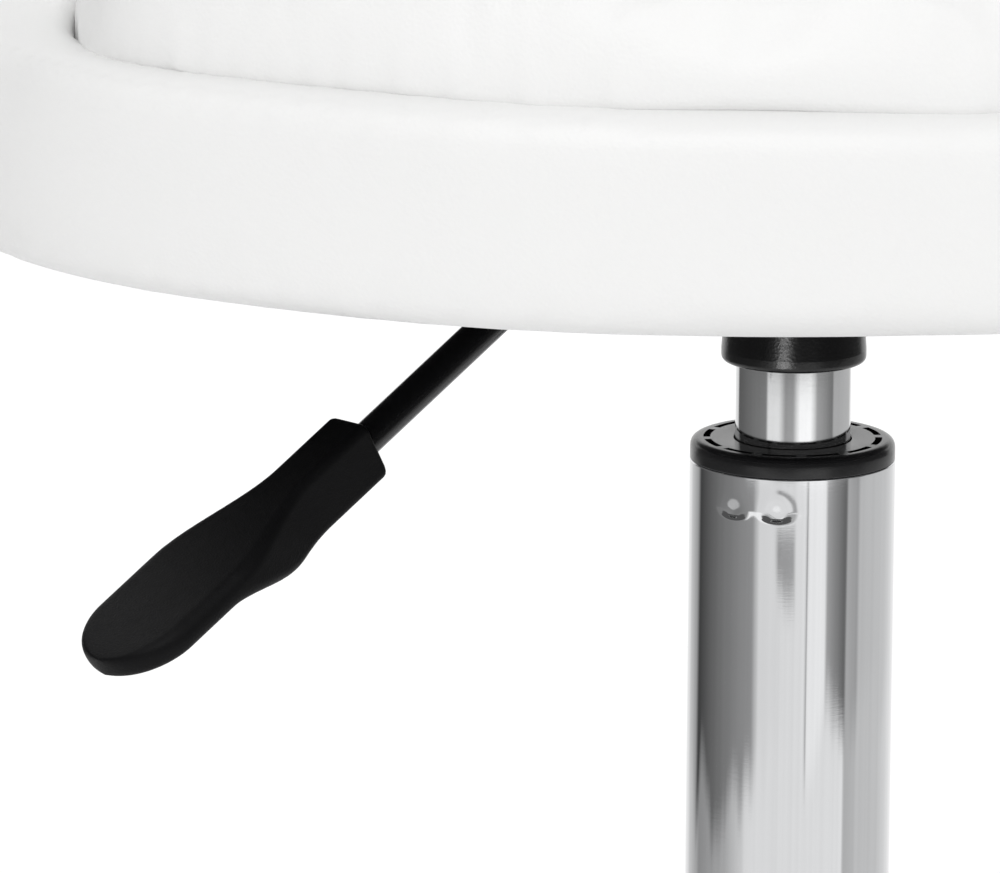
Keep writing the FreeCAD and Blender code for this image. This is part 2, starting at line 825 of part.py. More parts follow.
def make_fasteners():
    washer_bottom = plate_bottom - d.washer_thickness
    head_bottom = washer_bottom - d.bolt_head_height
    bolts, washers, nuts = [], [], []
    for index, place in enumerate(bolt_places()):
        bolts.append(turned("bolt_%d" % (index + 1), [
            (zero, head_bottom),
            (d.bolt_head_radius, head_bottom),
            (d.bolt_head_radius, washer_bottom),
            (d.bolt_radius, washer_bottom),
            (d.bolt_radius, board_top),
            (zero, board_top),
        ]))
        washers.append(ring("washer_%d" % (index + 1), d.bolt_radius + d.bolt_clearance, d.washer_radius,
                            washer_bottom, plate_bottom))
        flange_bottom_height = board_top - d.nut_flange
        nuts.append(turned("t_nut_%d" % (index + 1), [
            (d.bolt_radius, seat_bottom),
            (d.nut_barrel_radius, seat_bottom),
            (d.nut_barrel_radius, flange_bottom_height),
            (d.nut_flange_radius, flange_bottom_height),
            (d.nut_flange_radius, board_top),
            (d.bolt_radius, board_top),
        ]))
        for piece in (bolts[-1], washers[-1], nuts[-1]):
            piece.Placement = place
    group("plate_bolts", bolts)
    group("bolt_washers", washers)
    group("t_nuts", nuts)


# Lever: a bent rod, flat under the seat and sloping down outside, with a moulded paddle on its end

slope = math.radians(d.lever_slope.value)
slope_run = Vector(math.cos(slope), 0, -math.sin(slope))
slope_up = Vector(math.sin(slope), 0, math.cos(slope))
bend_start = Vector(d.lever_straight.value, 0, lever_axis.value)
bend_corner = bend_start + Vector(d.lever_bend.value * math.tan(slope / 2), 0, 0)


def on_lever(reach):
    # The point of the sloping run's axis at a distance from the column's axis
    return bend_corner + slope_run * ((reach - bend_corner.x) / slope_run.x)


def make_lever_rod():
    body = doc.addObject("PartDesign::Body", "lever_rod")
    path = new_sketch(body, "lever_rod_path", "XZ_Plane")
    radius = d.lever_bend.value
    centre = bend_start - Vector(0, 0, radius)
    bend_end = centre + Vector(radius * math.sin(slope), 0, radius * math.cos(slope))
    tail = Vector(-d.lever_tail.value, 0, lever_axis.value)
    end = on_lever(d.lever_reach.value)
    flat = [Vector(spot.x, spot.z, 0) for spot in (tail, bend_start, centre, bend_end, end)]
    bend = Part.ArcOfCircle(Part.Circle(flat[2], Vector(0, 0, 1), radius), math.pi / 2 - slope, math.pi / 2)
    path.addGeometry(Part.LineSegment(flat[0], flat[1]), False)
    path.addGeometry(bend, False)
    path.addGeometry(Part.LineSegment(flat[3], flat[4]), False)
    path.addConstraint(Sketcher.Constraint("Tangent", 0, 2, 1, 2))
    path.addConstraint(Sketcher.Constraint("Tangent", 1, 1, 2, 1))
    path.addConstraint(Sketcher.Constraint("Horizontal", 0))
    pin_point(path, 0, 1, -d.lever_tail, lever_axis)
    tie(path, Sketcher.Constraint("DistanceX", -1, 1, 0, 2, d.lever_straight.value), d.lever_straight.text)
    tie(path, Sketcher.Constraint("Radius", 1, radius), d.lever_bend.text)
    tie(path, Sketcher.Constraint("Angle", 2, -slope), "-%s * 1 deg" % d.lever_slope.text)
    tie(path, Sketcher.Constraint("DistanceX", -1, 1, 2, 2, d.lever_reach.value), d.lever_reach.text)
    section = new_sketch(body, "lever_rod_section", "YZ_Plane", -d.lever_tail)
    circle(section, zero, lever_axis, d.lever_radius)
    sweep = body.newObject("PartDesign::AdditivePipe", "lever_rod_sweep")
    sweep.Profile = section
    sweep.Spine = (path, ["Edge1", "Edge2", "Edge3"])
    hole = new_sketch(body, "lever_rod_pivot", "XZ_Plane")
    circle(hole, d.pivot_reach, lever_axis, d.pivot_radius + d.pivot_fit)
    drill(body, "lever_rod_pivot_hole", hole)
    return keep("lever_rod", body, lever_place)


# How finely the handle's sections follow each other, how far they go round its tip, and the least
# ratio of a section to its corners
handle_steps = 9
tip_steps = 5
tip_turn = math.radians(76.0)
corner_ratio = 2.25


def ease(share):
    share = min(max(share, 0.0), 1.0)
    return share * share * (3 - 2 * share)


def rounded_section(centre, across, up, width, depth, corner):
    # A rectangle with arc corners, square to the lever
    half_w, half_d = width / 2, depth / 2
    corner = min(corner, min(width, depth) / corner_ratio)
    edges = []
    starts = []
    for x_sign, z_sign in ((1, 1), (-1, 1), (-1, -1), (1, -1)):
        hub = (x_sign * (half_w - corner), z_sign * (half_d - corner))
        turn = math.atan2(z_sign, x_sign)
        bow = []
        for angle in (turn - math.pi / 4, turn, turn + math.pi / 4):
            sideways, height = hub[0] + corner * math.cos(angle), hub[1] + corner * math.sin(angle)
            bow.append(centre + across * sideways + up * height)
        starts.append(bow)
    for index, bow in enumerate(starts):
        edges.append(Part.Arc(*bow).toShape())
        edges.append(Part.makeLine(bow[2], starts[(index + 1) % len(starts)][0]))
    return Part.Wire(edges)


def handle_station(along):
    # Width, top and underside of the handle at a distance from its socket end
    widen = ease((along - d.socket_end_length.value) / d.handle_shoulder.value)
    thin = ease((along - d.under_start.value) / d.under_run.value)
    width = d.socket_end_width.value + (d.paddle_width.value - d.socket_end_width.value) * widen
    top = d.socket_end_depth.value / 2
    depth = d.socket_end_depth.value + (d.paddle_thickness.value - d.socket_end_depth.value) * thin
    tip_radius = d.paddle_width.value / 2
    past = max(along - (d.handle_length.value - tip_radius), 0.0) / tip_radius
    nose = math.sqrt(max(1 - past * past, 0.0))
    trim = (1 - nose) * (d.paddle_thickness.value - d.tip_thickness.value) / 2
    return width * nose, top - trim, top - depth + trim


def make_handle(rod):
    tip_radius = d.paddle_width.value / 2
    straight = d.handle_length.value - tip_radius
    spots = [straight * index / handle_steps for index in range(handle_steps)]
    spots += [straight + tip_radius * math.sin(tip_turn * index / tip_steps) for index in range(tip_steps + 1)]
    start = on_lever(d.handle_start.value)
    across = Vector(0, 1, 0)
    sections = []
    for along in spots:
        width, top, bottom = handle_station(along)
        centre = start + slope_run * along + slope_up * ((top + bottom) / 2)
        corner = d.handle_corner.value
        sections.append(rounded_section(centre, across, slope_up, width, top - bottom, corner))
    handle = doc.addObject("Part::Feature", "lever_handle")
    body = Part.makeLoft(sections, True, False)
    plain_rod = rod.Shape.transformed(lever_place.inverse().toMatrix())
    handle.Shape = cut_checked(body, plain_rod, "lever_handle")
    keep("lever_handle", handle, lever_place)


# Seat: plan outlines are arcs and lines, and every seat piece grows from one of two plans

outer_plan = [d.seat_half_width, d.seat_front, d.seat_rear, d.seat_front_radius, d.seat_corner_radius]
well_plan = [d.seat_half_width - d.side_wall, d.seat_front - d.lip_wall, d.seat_rear - d.back_wall,
             d.well_front_radius, d.well_corner_radius]


def outline(plan, height, grow=0.0, ahead=0.0):
    # Closed plan curve: front arc, corner arcs, straight sides and a half-round back
    half, front, rear, front_radius, corner_radius = [size.value + grow for size in plan]
    front += ahead
    front_y = front_radius - front
    corner_x = half - corner_radius
    corner_y = front_y - math.sqrt((front_radius - corner_radius) ** 2 - corner_x ** 2)
    rear_y = rear - half
    swing = math.atan2(corner_x, front_y - corner_y)
    quarter = math.pi / 2

    def arc(x, y, radius, start, end):
        spots = [Vector(x + radius * math.cos(a), y + radius * math.sin(a), height)
                 for a in (start, (start + end) / 2, end)]
        return Part.Arc(*spots).toShape()

    def side(x, start, end):
        return Part.makeLine(Vector(x, start, height), Vector(x, end, height))

    return Part.Wire([
        arc(0, front_y, front_radius, -quarter, swing - quarter),
        arc(corner_x, corner_y, corner_radius, swing - quarter, 0),
        side(half, corner_y, rear_y),
        arc(0, rear_y, half, 0, quarter),
        arc(0, rear_y, half, quarter, 2 * quarter),
        side(-half, rear_y, corner_y),
        arc(-corner_x, corner_y, corner_radius, 2 * quarter, 3 * quarter - swing),
        arc(0, front_y, front_radius, 3 * quarter - swing, 3 * quarter),
    ])


def flared(plan, bottom, top, flare, grow=0.0):
    # A solid on a plan whose walls lean outwards by an angle
    spread = (top - bottom) * math.tan(math.radians(flare))
    return Part.makeLoft([outline(plan, bottom, grow), outline(plan, top, grow + spread)], True, True)


def slab(plan, bottom, thickness, grow):
    return Part.Face(outline(plan, bottom, grow)).extrude(Vector(0, 0, thickness))


def above_rim(drop):
    # What lies over the rim's side view: flat lip, hollow, slope and crest, lowered by a distance
    turn = math.radians(d.arm_slope.value)
    hollow, crest = d.arm_hollow_radius.value, d.arm_crest_radius.value
    low, high = lip_top.value - drop, back_top.value - drop
    reach = 2 * d.seat_half_width.value
    run = (high - low - (hollow + crest) * (1 - math.cos(turn))) / math.sin(turn)
    begin = -d.arm_start.value

    def spot(y, z):
        return Vector(-reach, y, z)

    def hollow_at(angle):
        return spot(begin + hollow * math.sin(angle), low + hollow * (1 - math.cos(angle)))

    slope_foot = hollow_at(turn)
    slope_head = slope_foot + Vector(0, run * math.cos(turn), run * math.sin(turn))
    crest_y = slope_head.y + crest * math.sin(turn)

    def crest_at(angle):
        return spot(crest_y - crest * math.sin(angle), high - crest * (1 - math.cos(angle)))

    corners = [spot(-reach, high + reach), spot(-reach, low), hollow_at(0)]
    ends = [crest_at(0), spot(reach, high), spot(reach, high + reach), corners[0]]
    edges = [Part.makeLine(*pair) for pair in zip(corners, corners[1:])]
    edges.append(Part.Arc(hollow_at(0), hollow_at(turn / 2), slope_foot).toShape())
    edges.append(Part.makeLine(slope_foot, slope_head))
    edges.append(Part.Arc(slope_head, crest_at(turn / 2), crest_at(0)).toShape())
    edges += [Part.makeLine(*pair) for pair in zip(ends, ends[1:])]
    return Part.Face(Part.Wire(edges)).extrude(Vector(2 * reach, 0, 0))


rim_touch = 0.02


def middle(edge):
    return Part.Vertex(edge.valueAt((edge.FirstParameter + edge.LastParameter) / 2))


def lies_on(edge, shape):
    return shape.distToShape(middle(edge))[0] < rim_touch


def make_frame_solid():
    # A bent plywood band that stands on the seat board and runs inside the arms and back
    inset = d.board_inset.value
    bottom, top = board_top.value, back_top.value
    band = flared(outer_plan, bottom, top, d.seat_flare.value, -inset)
    hollow = flared(outer_plan, bottom, top, d.seat_flare.value, -inset - d.frame_thickness.value)
    band = cut_checked(band, hollow, "back_frame hollow")
    band = cut_checked(band, above_rim(d.frame_cover.value), "back_frame top")
    reach = 2 * d.seat_half_width.value
    front = Part.makeBox(2 * reach, reach, 2 * top, Vector(-reach, -reach - d.frame_front.value, 0))
    return cut_checked(band, front, "back_frame front")


def make_tub_solid():
    over = back_top.value + d.seat_half_width.value
    shell = flared(outer_plan, seat_bottom.value, over, d.seat_flare.value)
    foot = [edge for edge in shell.Edges if edge.BoundBox.ZMax < seat_bottom.value + touch]
    shell = shell.makeFillet(d.seat_under_round.value, foot)
    well = flared(well_plan, well_bottom.value, over + through_margin, d.well_flare.value)
    open_tub = cut_checked(shell, well, "tub well")
    rim_tool = above_rim(0.0)
    open_tub = cut_checked(open_tub, rim_tool, "tub rim")
    walls = (shell.Shells[0], well.Shells[0])
    for wall, radius in zip(walls, (d.rim_outer_round.value, d.rim_inner_round.value)):
        rim = [edge for edge in open_tub.Edges if lies_on(edge, wall) and lies_on(edge, rim_tool.Shells[0])]
        open_tub = open_tub.makeFillet(radius, rim)
    return open_tub


def make_seat_shell():
    frame_solid = make_frame_solid()
    frame = doc.addObject("Part::Feature", "back_frame")
    frame.Shape = frame_solid
    keep("back_frame", frame)
    blank = slab(outer_plan, seat_bottom.value, d.board_thickness.value, -d.board_inset.value)
    tub = doc.addObject("Part::Feature", "tub_upholstery")
    tub.Shape = cut_checked(cut_checked(make_tub_solid(), blank, "tub board"), frame_solid, "tub frame")
    keep("tub_upholstery", tub)


def bolt_cores(radius, bottom, top):
    cores = []
    for place in bolt_places():
        core = Part.makeCylinder(radius, top - bottom, Vector(0, 0, bottom))
        cores.append(core.transformed(place.toMatrix()))
    return Part.makeCompound(cores)


def make_seat_board():
    blank = slab(outer_plan, seat_bottom.value, d.board_thickness.value, -d.board_inset.value)
    top = board_top.value
    barrels = bolt_cores(d.nut_barrel_radius.value, seat_bottom.value, top)
    flanges = bolt_cores(d.nut_flange_radius.value, top - d.nut_flange.value, top)
    board = doc.addObject("Part::Feature", "seat_board")
    board.Shape = cut_checked(cut_checked(blank, barrels, "seat_board"), flanges, "seat_board")
    keep("seat_board", board)


def make_dust_cover():
    bottom = plate_top.value
    sheet_blank = slab(outer_plan, bottom, d.cover_thickness.value, -d.cover_inset.value)
    hole_radius = d.bolt_radius.value + d.bolt_clearance.value
    holes = bolt_cores(hole_radius, bottom, bottom + d.cover_thickness.value)
    cover = doc.addObject("Part::Feature", "dust_cover")
    cover.Shape = cut_checked(sheet_blank, holes, "dust_cover")
    keep("dust_cover", cover)


# The cushion's rows above its brim: drop from the top, inset and front overhang, as shares of the
# edge round, the crown inset and the overhang
cushion_rows = [(0.6, 0.055, 1.0), (0.4, 0.13, 0.93), (0.25, 0.25, 0.8), (0.15, 0.37, 0.66),
                (0.08, 0.5, 0.5), (0.03, 0.72, 0.25), (0.0, 1.0, 0.0)]
foot_slope = 0.25

# How the cushion passes over the lip: shares of a quarter turn round the lip's inner edge, then rises
# above the lip with their share of the overhang
lip_turns = [0.3, 0.62, 0.9]
brim_rows = [(0.5, 0.78), (2.6, 0.97)]


def make_cushion():
    # Drawn in at the foot, swelling over the lip at the front, and crowned on top
    foot = well_bottom.value + d.cushion_seat_gap.value
    top = foot + d.cushion_thickness.value
    lip = lip_top.value
    gap = d.cushion_gap.value
    draw = d.cushion_draw_in.value
    over = d.cushion_overhang.value
    edge = d.cushion_edge_round.value
    brim = (lip + top - edge) / 2 + draw
    sections = [
        outline(well_plan, foot, -gap - draw),
        outline(well_plan, foot + draw, -gap - draw * foot_slope),
        outline(well_plan, lip - d.rim_inner_round.value, -gap),
    ]
    roll = d.rim_inner_round.value + gap
    for share in lip_turns:
        turn = share * math.pi / 2
        height = lip + gap - roll * (1 - math.sin(turn))
        sections.append(outline(well_plan, height, -gap, roll * (1 - math.cos(turn))))
    for rise, share in brim_rows:
        sections.append(outline(well_plan, lip + gap + rise, -gap, over * share))
    sections.append(outline(well_plan, brim, -gap, over))
    for drop, inset, swell in cushion_rows:
        grow = -gap - d.cushion_crown_inset.value * inset
        sections.append(outline(well_plan, top - edge * drop, grow, over * swell))
    cushion = doc.addObject("Part::Feature", "seat_cushion")
    cushion.Shape = Part.makeLoft(sections, True, True)
    keep("seat_cushion", cushion)


make_hub()
for leg in range(leg_count):
    make_leg(leg)
    make_stem(leg)
    make_hood(leg)
    make_axle(leg)
    make_wheel(leg, "left", 1)
    make_wheel(leg, "right", -1)
make_column()
make_bush()
make_ring_cap()
make_bearing()
make_rod()
make_cylinder()
make_socket()
make_bracket()
make_plate()
make_pivot_pin()
make_fasteners()
lever_rod = make_lever_rod()
doc.recompute()
make_handle(lever_rod)
make_seat_shell()
make_seat_board()
make_dust_cover()
make_cushion()
doc.recompute()

# Nothing is written unless every object is sound
for item in doc.Objects:
    if "Invalid" in item.State or "Error" in item.State:
        raise RuntimeError("%s failed: %s" % (item.Label, item.State))
for item in nodes:
    if item.Shape.isNull() or not item.Shape.isValid():
        raise RuntimeError("%s has no valid shape" % item.Label)

os.makedirs("parts", exist_ok=True)
for item in nodes:
    item.Shape.exportStep("parts/%s.step" % item.Label)
print("%d pieces, from the floor to %.1f mm" % (len(nodes), back_top.value))
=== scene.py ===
import json
import math

import bmesh
import bpy
import numpy as np
from mathutils import Matrix, Vector


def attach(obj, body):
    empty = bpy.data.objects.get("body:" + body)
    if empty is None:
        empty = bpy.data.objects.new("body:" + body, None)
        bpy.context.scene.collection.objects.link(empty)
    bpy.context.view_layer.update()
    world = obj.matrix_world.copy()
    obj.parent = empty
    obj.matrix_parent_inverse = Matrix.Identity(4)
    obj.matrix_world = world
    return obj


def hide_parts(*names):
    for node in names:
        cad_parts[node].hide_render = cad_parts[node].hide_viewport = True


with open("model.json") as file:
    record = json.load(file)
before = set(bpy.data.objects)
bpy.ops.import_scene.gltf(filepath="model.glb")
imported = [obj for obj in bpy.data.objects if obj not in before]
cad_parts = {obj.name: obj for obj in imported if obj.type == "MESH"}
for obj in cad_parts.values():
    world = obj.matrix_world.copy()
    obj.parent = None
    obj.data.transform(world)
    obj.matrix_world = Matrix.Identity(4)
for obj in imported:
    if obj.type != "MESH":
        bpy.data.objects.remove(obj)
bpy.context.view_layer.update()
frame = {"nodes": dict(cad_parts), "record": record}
scene = bpy.context.scene
scene.view_settings.view_transform = "Standard"
print("frame loaded:", len(frame["nodes"]), "pieces")


# Small helpers

def addObject(name, mesh):
    piece = bpy.data.objects.new(name, mesh)
    scene.collection.objects.link(piece)
    return piece


def shapeFrom(mesh, merge=1e-6):
    shape = bmesh.new()
    shape.from_mesh(mesh)
    bmesh.ops.remove_doubles(shape, verts=shape.verts, dist=merge)
    return shape


def keepShape(shape, mesh, sharpAngle=35.0):
    shape.to_mesh(mesh)
    shape.free()
    mesh.shade_smooth()
    mesh.set_sharp_from_angle(angle=math.radians(sharpAngle))
    return mesh


def meshFrom(name, points, faces, sharpAngle=35.0):
    mesh = bpy.data.meshes.new(name)
    mesh.from_pydata([tuple(p) for p in points], [], faces)
    shape = shapeFrom(mesh)
    bmesh.ops.recalc_face_normals(shape, faces=shape.faces)
    return keepShape(shape, mesh, sharpAngle)


def gridFaces(rows, columns, wrapRows=False):
    faces = []
    for i in range(rows if wrapRows else rows - 1):
        for j in range(columns):
            a, b = (i + 1) % rows, (j + 1) % columns
            faces.append((i * columns + j, i * columns + b, a * columns + b, a * columns + j))
    return faces


def tubeParts(rows):
    # rows of points joined into a tube, with one flat face over each end
    count, columns = len(rows), len(rows[0])
    ends = [tuple(range(columns)), tuple(range((count - 1) * columns, count * columns))]
    return [spot for row in rows for spot in row], gridFaces(count, columns) + ends


def circle(count, phase=0.0):
    return [2 * math.pi * (k + phase) / count for k in range(count)]


def quarterArc(steps):
    return [math.pi / 2 * k / steps for k in range(steps + 1)]


def curveRound(start, corner, end, steps):
    shares = [k / steps for k in range(steps + 1)]
    return [start * (1 - t) ** 2 + corner * 2 * t * (1 - t) + end * t ** 2 for t in shares]


def roundedProfile(corners, steps=6, most=0.49):
    # corners are (radius, height, rounding); a rounding takes at most a share of each side
    spots = [Vector((r, z)) for r, z, _ in corners]
    line = []
    for i, (_, _, rounding) in enumerate(corners):
        here, before, after = spots[i], spots[i - 1], spots[(i + 1) % len(spots)]
        if rounding <= 0:
            line.append(here)
            continue
        into, out = (before - here).normalized(), (after - here).normalized()
        half = into.angle(out) / 2
        reach = min(rounding / math.tan(half), most * (before - here).length, most * (after - here).length)
        line += curveRound(here + into * reach, here, here + out * reach, steps)
    return line


def turnedParts(corners, segments=160, steps=6):
    line = roundedProfile(corners, steps)
    points = [(spot.x * math.cos(a), spot.x * math.sin(a), spot.y) for spot in line for a in circle(segments)]
    return points, gridFaces(len(line), segments, wrapRows=True)


def turnedMesh(name, corners, segments=160, steps=6):
    return meshFrom(name, *turnedParts(corners, segments, steps))


def joinedMesh(name, parts):
    points, faces = [], []
    for spots, sides in parts:
        faces += [tuple(index + len(points) for index in side) for side in sides]
        points += [tuple(spot) for spot in spots]
    return meshFrom(name, points, faces)


def movedCopy(name, mesh, place):
    copy = mesh.copy()
    copy.name = name
    copy.transform(place)
    return addObject(name, copy)


def softCopy(node, name, width, flat=2.0, keen=30.0):
    # a CAD piece with its sharp edges broken
    shape = shapeFrom(frame["nodes"][node].data)
    bmesh.ops.dissolve_limit(shape, angle_limit=math.radians(flat), verts=shape.verts, edges=shape.edges)
    edges = [edge for edge in shape.edges
             if len(edge.link_faces) == 2 and edge.calc_face_angle(0.0) > math.radians(keen)]
    bmesh.ops.bevel(shape, geom=edges, offset=width, segments=2, profile=0.5, affect="EDGES", clamp_overlap=True)
    return addObject(name, keepShape(shape, bpy.data.meshes.new(name), 40.0))


def finishPiece(piece, body, nodes, slotName):
    piece.data.materials.clear()
    piece.data.materials.append(materials[slotName])
    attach(piece, body)
    if nodes:
        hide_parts(*nodes)


def easeStep(x):
    x = np.clip(x, 0.0, 1.0)
    return x * x * (3 - 2 * x)


def ramp(x, start, length):
    return easeStep((x - start) / length)


# Node helpers, and the shader parts that several finishes share

def feed(tree, socket, value):
    # a socket takes either a link or a plain value
    if isinstance(value, bpy.types.NodeSocket):
        tree.links.new(value, socket)
    else:
        socket.default_value = value


def addNode(tree, kind, sockets=None, **settings):
    node = tree.nodes.new(kind)
    for key, value in settings.items():
        setattr(node, key, value)
    for key, value in (sockets or {}).items():
        feed(tree, node.inputs[key], value)
    return node


def mathNode(tree, operation, a, b, clamp=False):
    return addNode(tree, "ShaderNodeMath", {0: a, 1: b}, operation=operation, use_clamp=clamp).outputs[0]


def mixNode(tree, factor, a, b, blend="MIX"):
    return addNode(tree, "ShaderNodeMix", {0: factor, 6: a, 7: b}, data_type="RGBA", blend_type=blend).outputs[2]


def noiseNode(tree, vector, scale, detail=3.0, rough=0.55):
    return addNode(tree, "ShaderNodeTexNoise", {
        "Vector": vector, "Scale": scale, "Detail": detail, "Roughness": rough}).outputs["Fac"]


def newGroup(name, output, **inputs):
    group = bpy.data.node_groups.new(name, "ShaderNodeTree")
    for label, default in inputs.items():
        socket = group.interface.new_socket(label, in_out="INPUT", socket_type="NodeSocketFloat")
        socket.default_value = default
    group.interface.new_socket(output, in_out="OUTPUT", socket_type="NodeSocketFloat")
    place = addNode(group, "ShaderNodeTexCoord").outputs["Object"]
    return group, addNode(group, "NodeGroupInput").outputs, addNode(group, "NodeGroupOutput"), place


def mottleGroup():
    # uneven tone and gloss over a surface
    group, inside, result, place = newGroup("unevenTone", "Tone", Size=30.0, Amount=0.1)
    shifted = mathNode(group, "SUBTRACT", noiseNode(group, place, inside["Size"], 4.0), 0.5)
    scaled = mathNode(group, "MULTIPLY", shifted, inside["Amount"])
    feed(group, result.inputs[0], mathNode(group, "ADD", scaled, 1.0))
    return group


def grainGroup():
    # pebbled skin of coated cloth and of moulded plastic
    group, inside, result, place = newGroup("pebbleGrain", "Height", Size=900.0, Wander=0.4)
    cells = addNode(group, "ShaderNodeTexVoronoi", {
        "Vector": place, "Scale": inside["Size"], "Smoothness": 0.6}, feature="SMOOTH_F1")
    coarse = mathNode(group, "MULTIPLY", inside["Size"], 0.23)
    wander = mathNode(group, "MULTIPLY", noiseNode(group, place, coarse, 2.0), inside["Wander"])
    feed(group, result.inputs[0], mathNode(group, "ADD", cells.outputs["Distance"], wander))
    return group


def scratchGroup():
    # fine lines that run round or along a turned part
    group, inside, result, place = newGroup("fineLines", "Lines", Across=40.0, Along=4000.0)
    sizes = addNode(group, "ShaderNodeCombineXYZ", {0: inside["Across"], 1: inside["Across"], 2: inside["Along"]})
    scaled = addNode(group, "ShaderNodeVectorMath", {0: place, 1: sizes.outputs[0]}, operation="MULTIPLY")
    feed(group, result.inputs[0], noiseNode(group, scaled.outputs[0], 1.0, 3.0, 0.7))
    return group


unevenTone, pebbleGrain, fineLines = mottleGroup(), grainGroup(), scratchGroup()


def newMaterial(name):
    material = bpy.data.materials.new(name)
    material.use_nodes = True
    return material, material.node_tree


def placeGroup(tree, group, **values):
    return addNode(tree, "ShaderNodeGroup", values, node_tree=group).outputs[0]


finishes = {
    "white_leatherette": dict(colour=(0.885, 0.885, 0.88), rough=0.45, roughAmount=0.12, toneSize=22.0,
                              toneAmount=0.03, grain=1100.0, wander=0.9, relief=0.00006),
    "chrome": dict(colour=(0.74, 0.745, 0.755), metal=1.0, rough=0.045, roughAmount=0.5, toneSize=60.0,
                   toneAmount=0.03, lines=(300.0, 2500.0), relief=0.0000015),
    "cylinder_steel": dict(colour=(0.66, 0.665, 0.67), metal=1.0, rough=0.08, roughAmount=0.2, toneSize=120.0,
                           toneAmount=0.05, lines=(60.0, 9000.0), relief=0.0000015),
    "ring_plastic": dict(colour=(0.011, 0.011, 0.012), rough=0.2, roughAmount=0.25, toneSize=90.0,
                         toneAmount=0.15, grain=2600.0, wander=0.5, relief=0.000012),
    "black_steel": dict(colour=(0.004, 0.004, 0.0045), rough=0.22, roughAmount=0.25, toneSize=70.0,
                        toneAmount=0.2, specular=0.45, grain=1500.0, wander=1.2, relief=0.00002),
    "handle_plastic": dict(colour=(0.0055, 0.0055, 0.006), rough=0.48, roughAmount=0.2, toneSize=50.0,
                           toneAmount=0.25, specular=0.09, grain=2200.0, wander=0.6, relief=0.00005),
    "caster_nylon": dict(colour=(0.014, 0.014, 0.015), rough=0.45, roughAmount=0.25, toneSize=60.0,
                         toneAmount=0.25, grain=1800.0, wander=0.6, relief=0.00003),
    "wheel_nylon": dict(colour=(0.02, 0.02, 0.021), rough=0.55, roughAmount=0.3, toneSize=80.0,
                        toneAmount=0.35, grain=1200.0, wander=0.8, relief=0.00003),
    "zinc_steel": dict(colour=(0.58, 0.575, 0.55), metal=1.0, rough=0.32, roughAmount=0.4, toneSize=200.0,
                       toneAmount=0.2, grain=900.0, wander=1.0, relief=0.00001),
    "guide_plastic": dict(colour=(0.6, 0.59, 0.55), rough=0.4, roughAmount=0.2, toneSize=60.0,
                          toneAmount=0.06, grain=1500.0, wander=0.5, relief=0.00002),
    "bumper_rubber": dict(colour=(0.02, 0.02, 0.02), rough=0.7, roughAmount=0.15, toneSize=90.0,
                          toneAmount=0.2, grain=1500.0, wander=0.7, relief=0.00003),
    "plywood": dict(colour=(0.52, 0.37, 0.22), rough=0.62, roughAmount=0.2, toneSize=25.0,
                    toneAmount=0.3, lines=(25.0, 1400.0), relief=0.00006),
    "cover_cloth": dict(colour=(0.022, 0.022, 0.024), rough=0.85, roughAmount=0.1, toneSize=40.0,
                        toneAmount=0.25, grain=1600.0, wander=1.0, relief=0.0001),
}


def makeFinish(name, look):
    material, tree = newMaterial(name)
    sockets = tree.nodes["Principled BSDF"].inputs
    tone = placeGroup(tree, unevenTone, Size=look["toneSize"], Amount=look["toneAmount"])
    gloss = placeGroup(tree, unevenTone, Size=look["toneSize"] * 2.7, Amount=look["roughAmount"])
    if "lines" in look:
        height = placeGroup(tree, fineLines, Across=look["lines"][0], Along=look["lines"][1])
    else:
        height = placeGroup(tree, pebbleGrain, Size=look["grain"], Wander=look["wander"])
    bump = addNode(tree, "ShaderNodeBump", {"Strength": 1.0, "Distance": look["relief"], "Height": height})
    values = {"Metallic": look.get("metal", 0.0), "Specular IOR Level": look.get("specular", 0.5),
              "Base Color": mixNode(tree, 1.0, (*look["colour"], 1.0), tone, "MULTIPLY"),
              "Roughness": mathNode(tree, "MULTIPLY", gloss, look["rough"]), "Normal": bump.outputs["Normal"]}
    for label, value in values.items():
        feed(tree, sockets[label], value)
    return material


materials = {name: makeFinish(name, look) for name, look in finishes.items()}
for row in frame["record"]["subparts"]:
    node = frame["nodes"][row["node"]]
    node.data.materials.clear()
    node.data.materials.append(materials[row["material_slot"]])
print("finishes made:", len(materials))


# Seat tub: one cover from the lip round the arms to the back

tub = dict(bottom=0.3963, lipTop=0.4473, backTop=0.6803, wellBottom=0.4273, flare=3.0, wellFlare=4.5,
           outer=(0.204, 0.198, 0.205, 0.300, 0.120), well=(0.172, 0.178, 0.169, 0.270, 0.060),
           armStart=0.108, armSlope=58.0, hollow=0.070, crest=0.120, underRound=0.013, underFlat=0.019,
           floorInset=0.03, footRound=0.006, rimOuter=0.010, rimInner=0.008, wallRows=24, planSteps=(36, 34, 14, 76),
           voxel=0.0045, smooth=4, pressure=4.0, frames=20, heldBottom=0.002, heldFloor=0.003, heldHalf=0.15,
           cap=0.0022, capInside=0.0036, insideWall=(0.188, 0.41, 0.065), cornerIn=0.0045, cornerFade=0.018,
           cornerSkin=(0.196, 0.41, 0.06), cornerAcross=(0.115, 0.05), cornerFront=(-0.02, 0.09),
           cornerBack=(-0.16, 0.05), cornerRise=(0.425, 0.02), sag=0.0014, sagMiddle=0.07, sagWidth=0.08,
           sagBack=-0.05, sagBand=(0.03, 0.02))


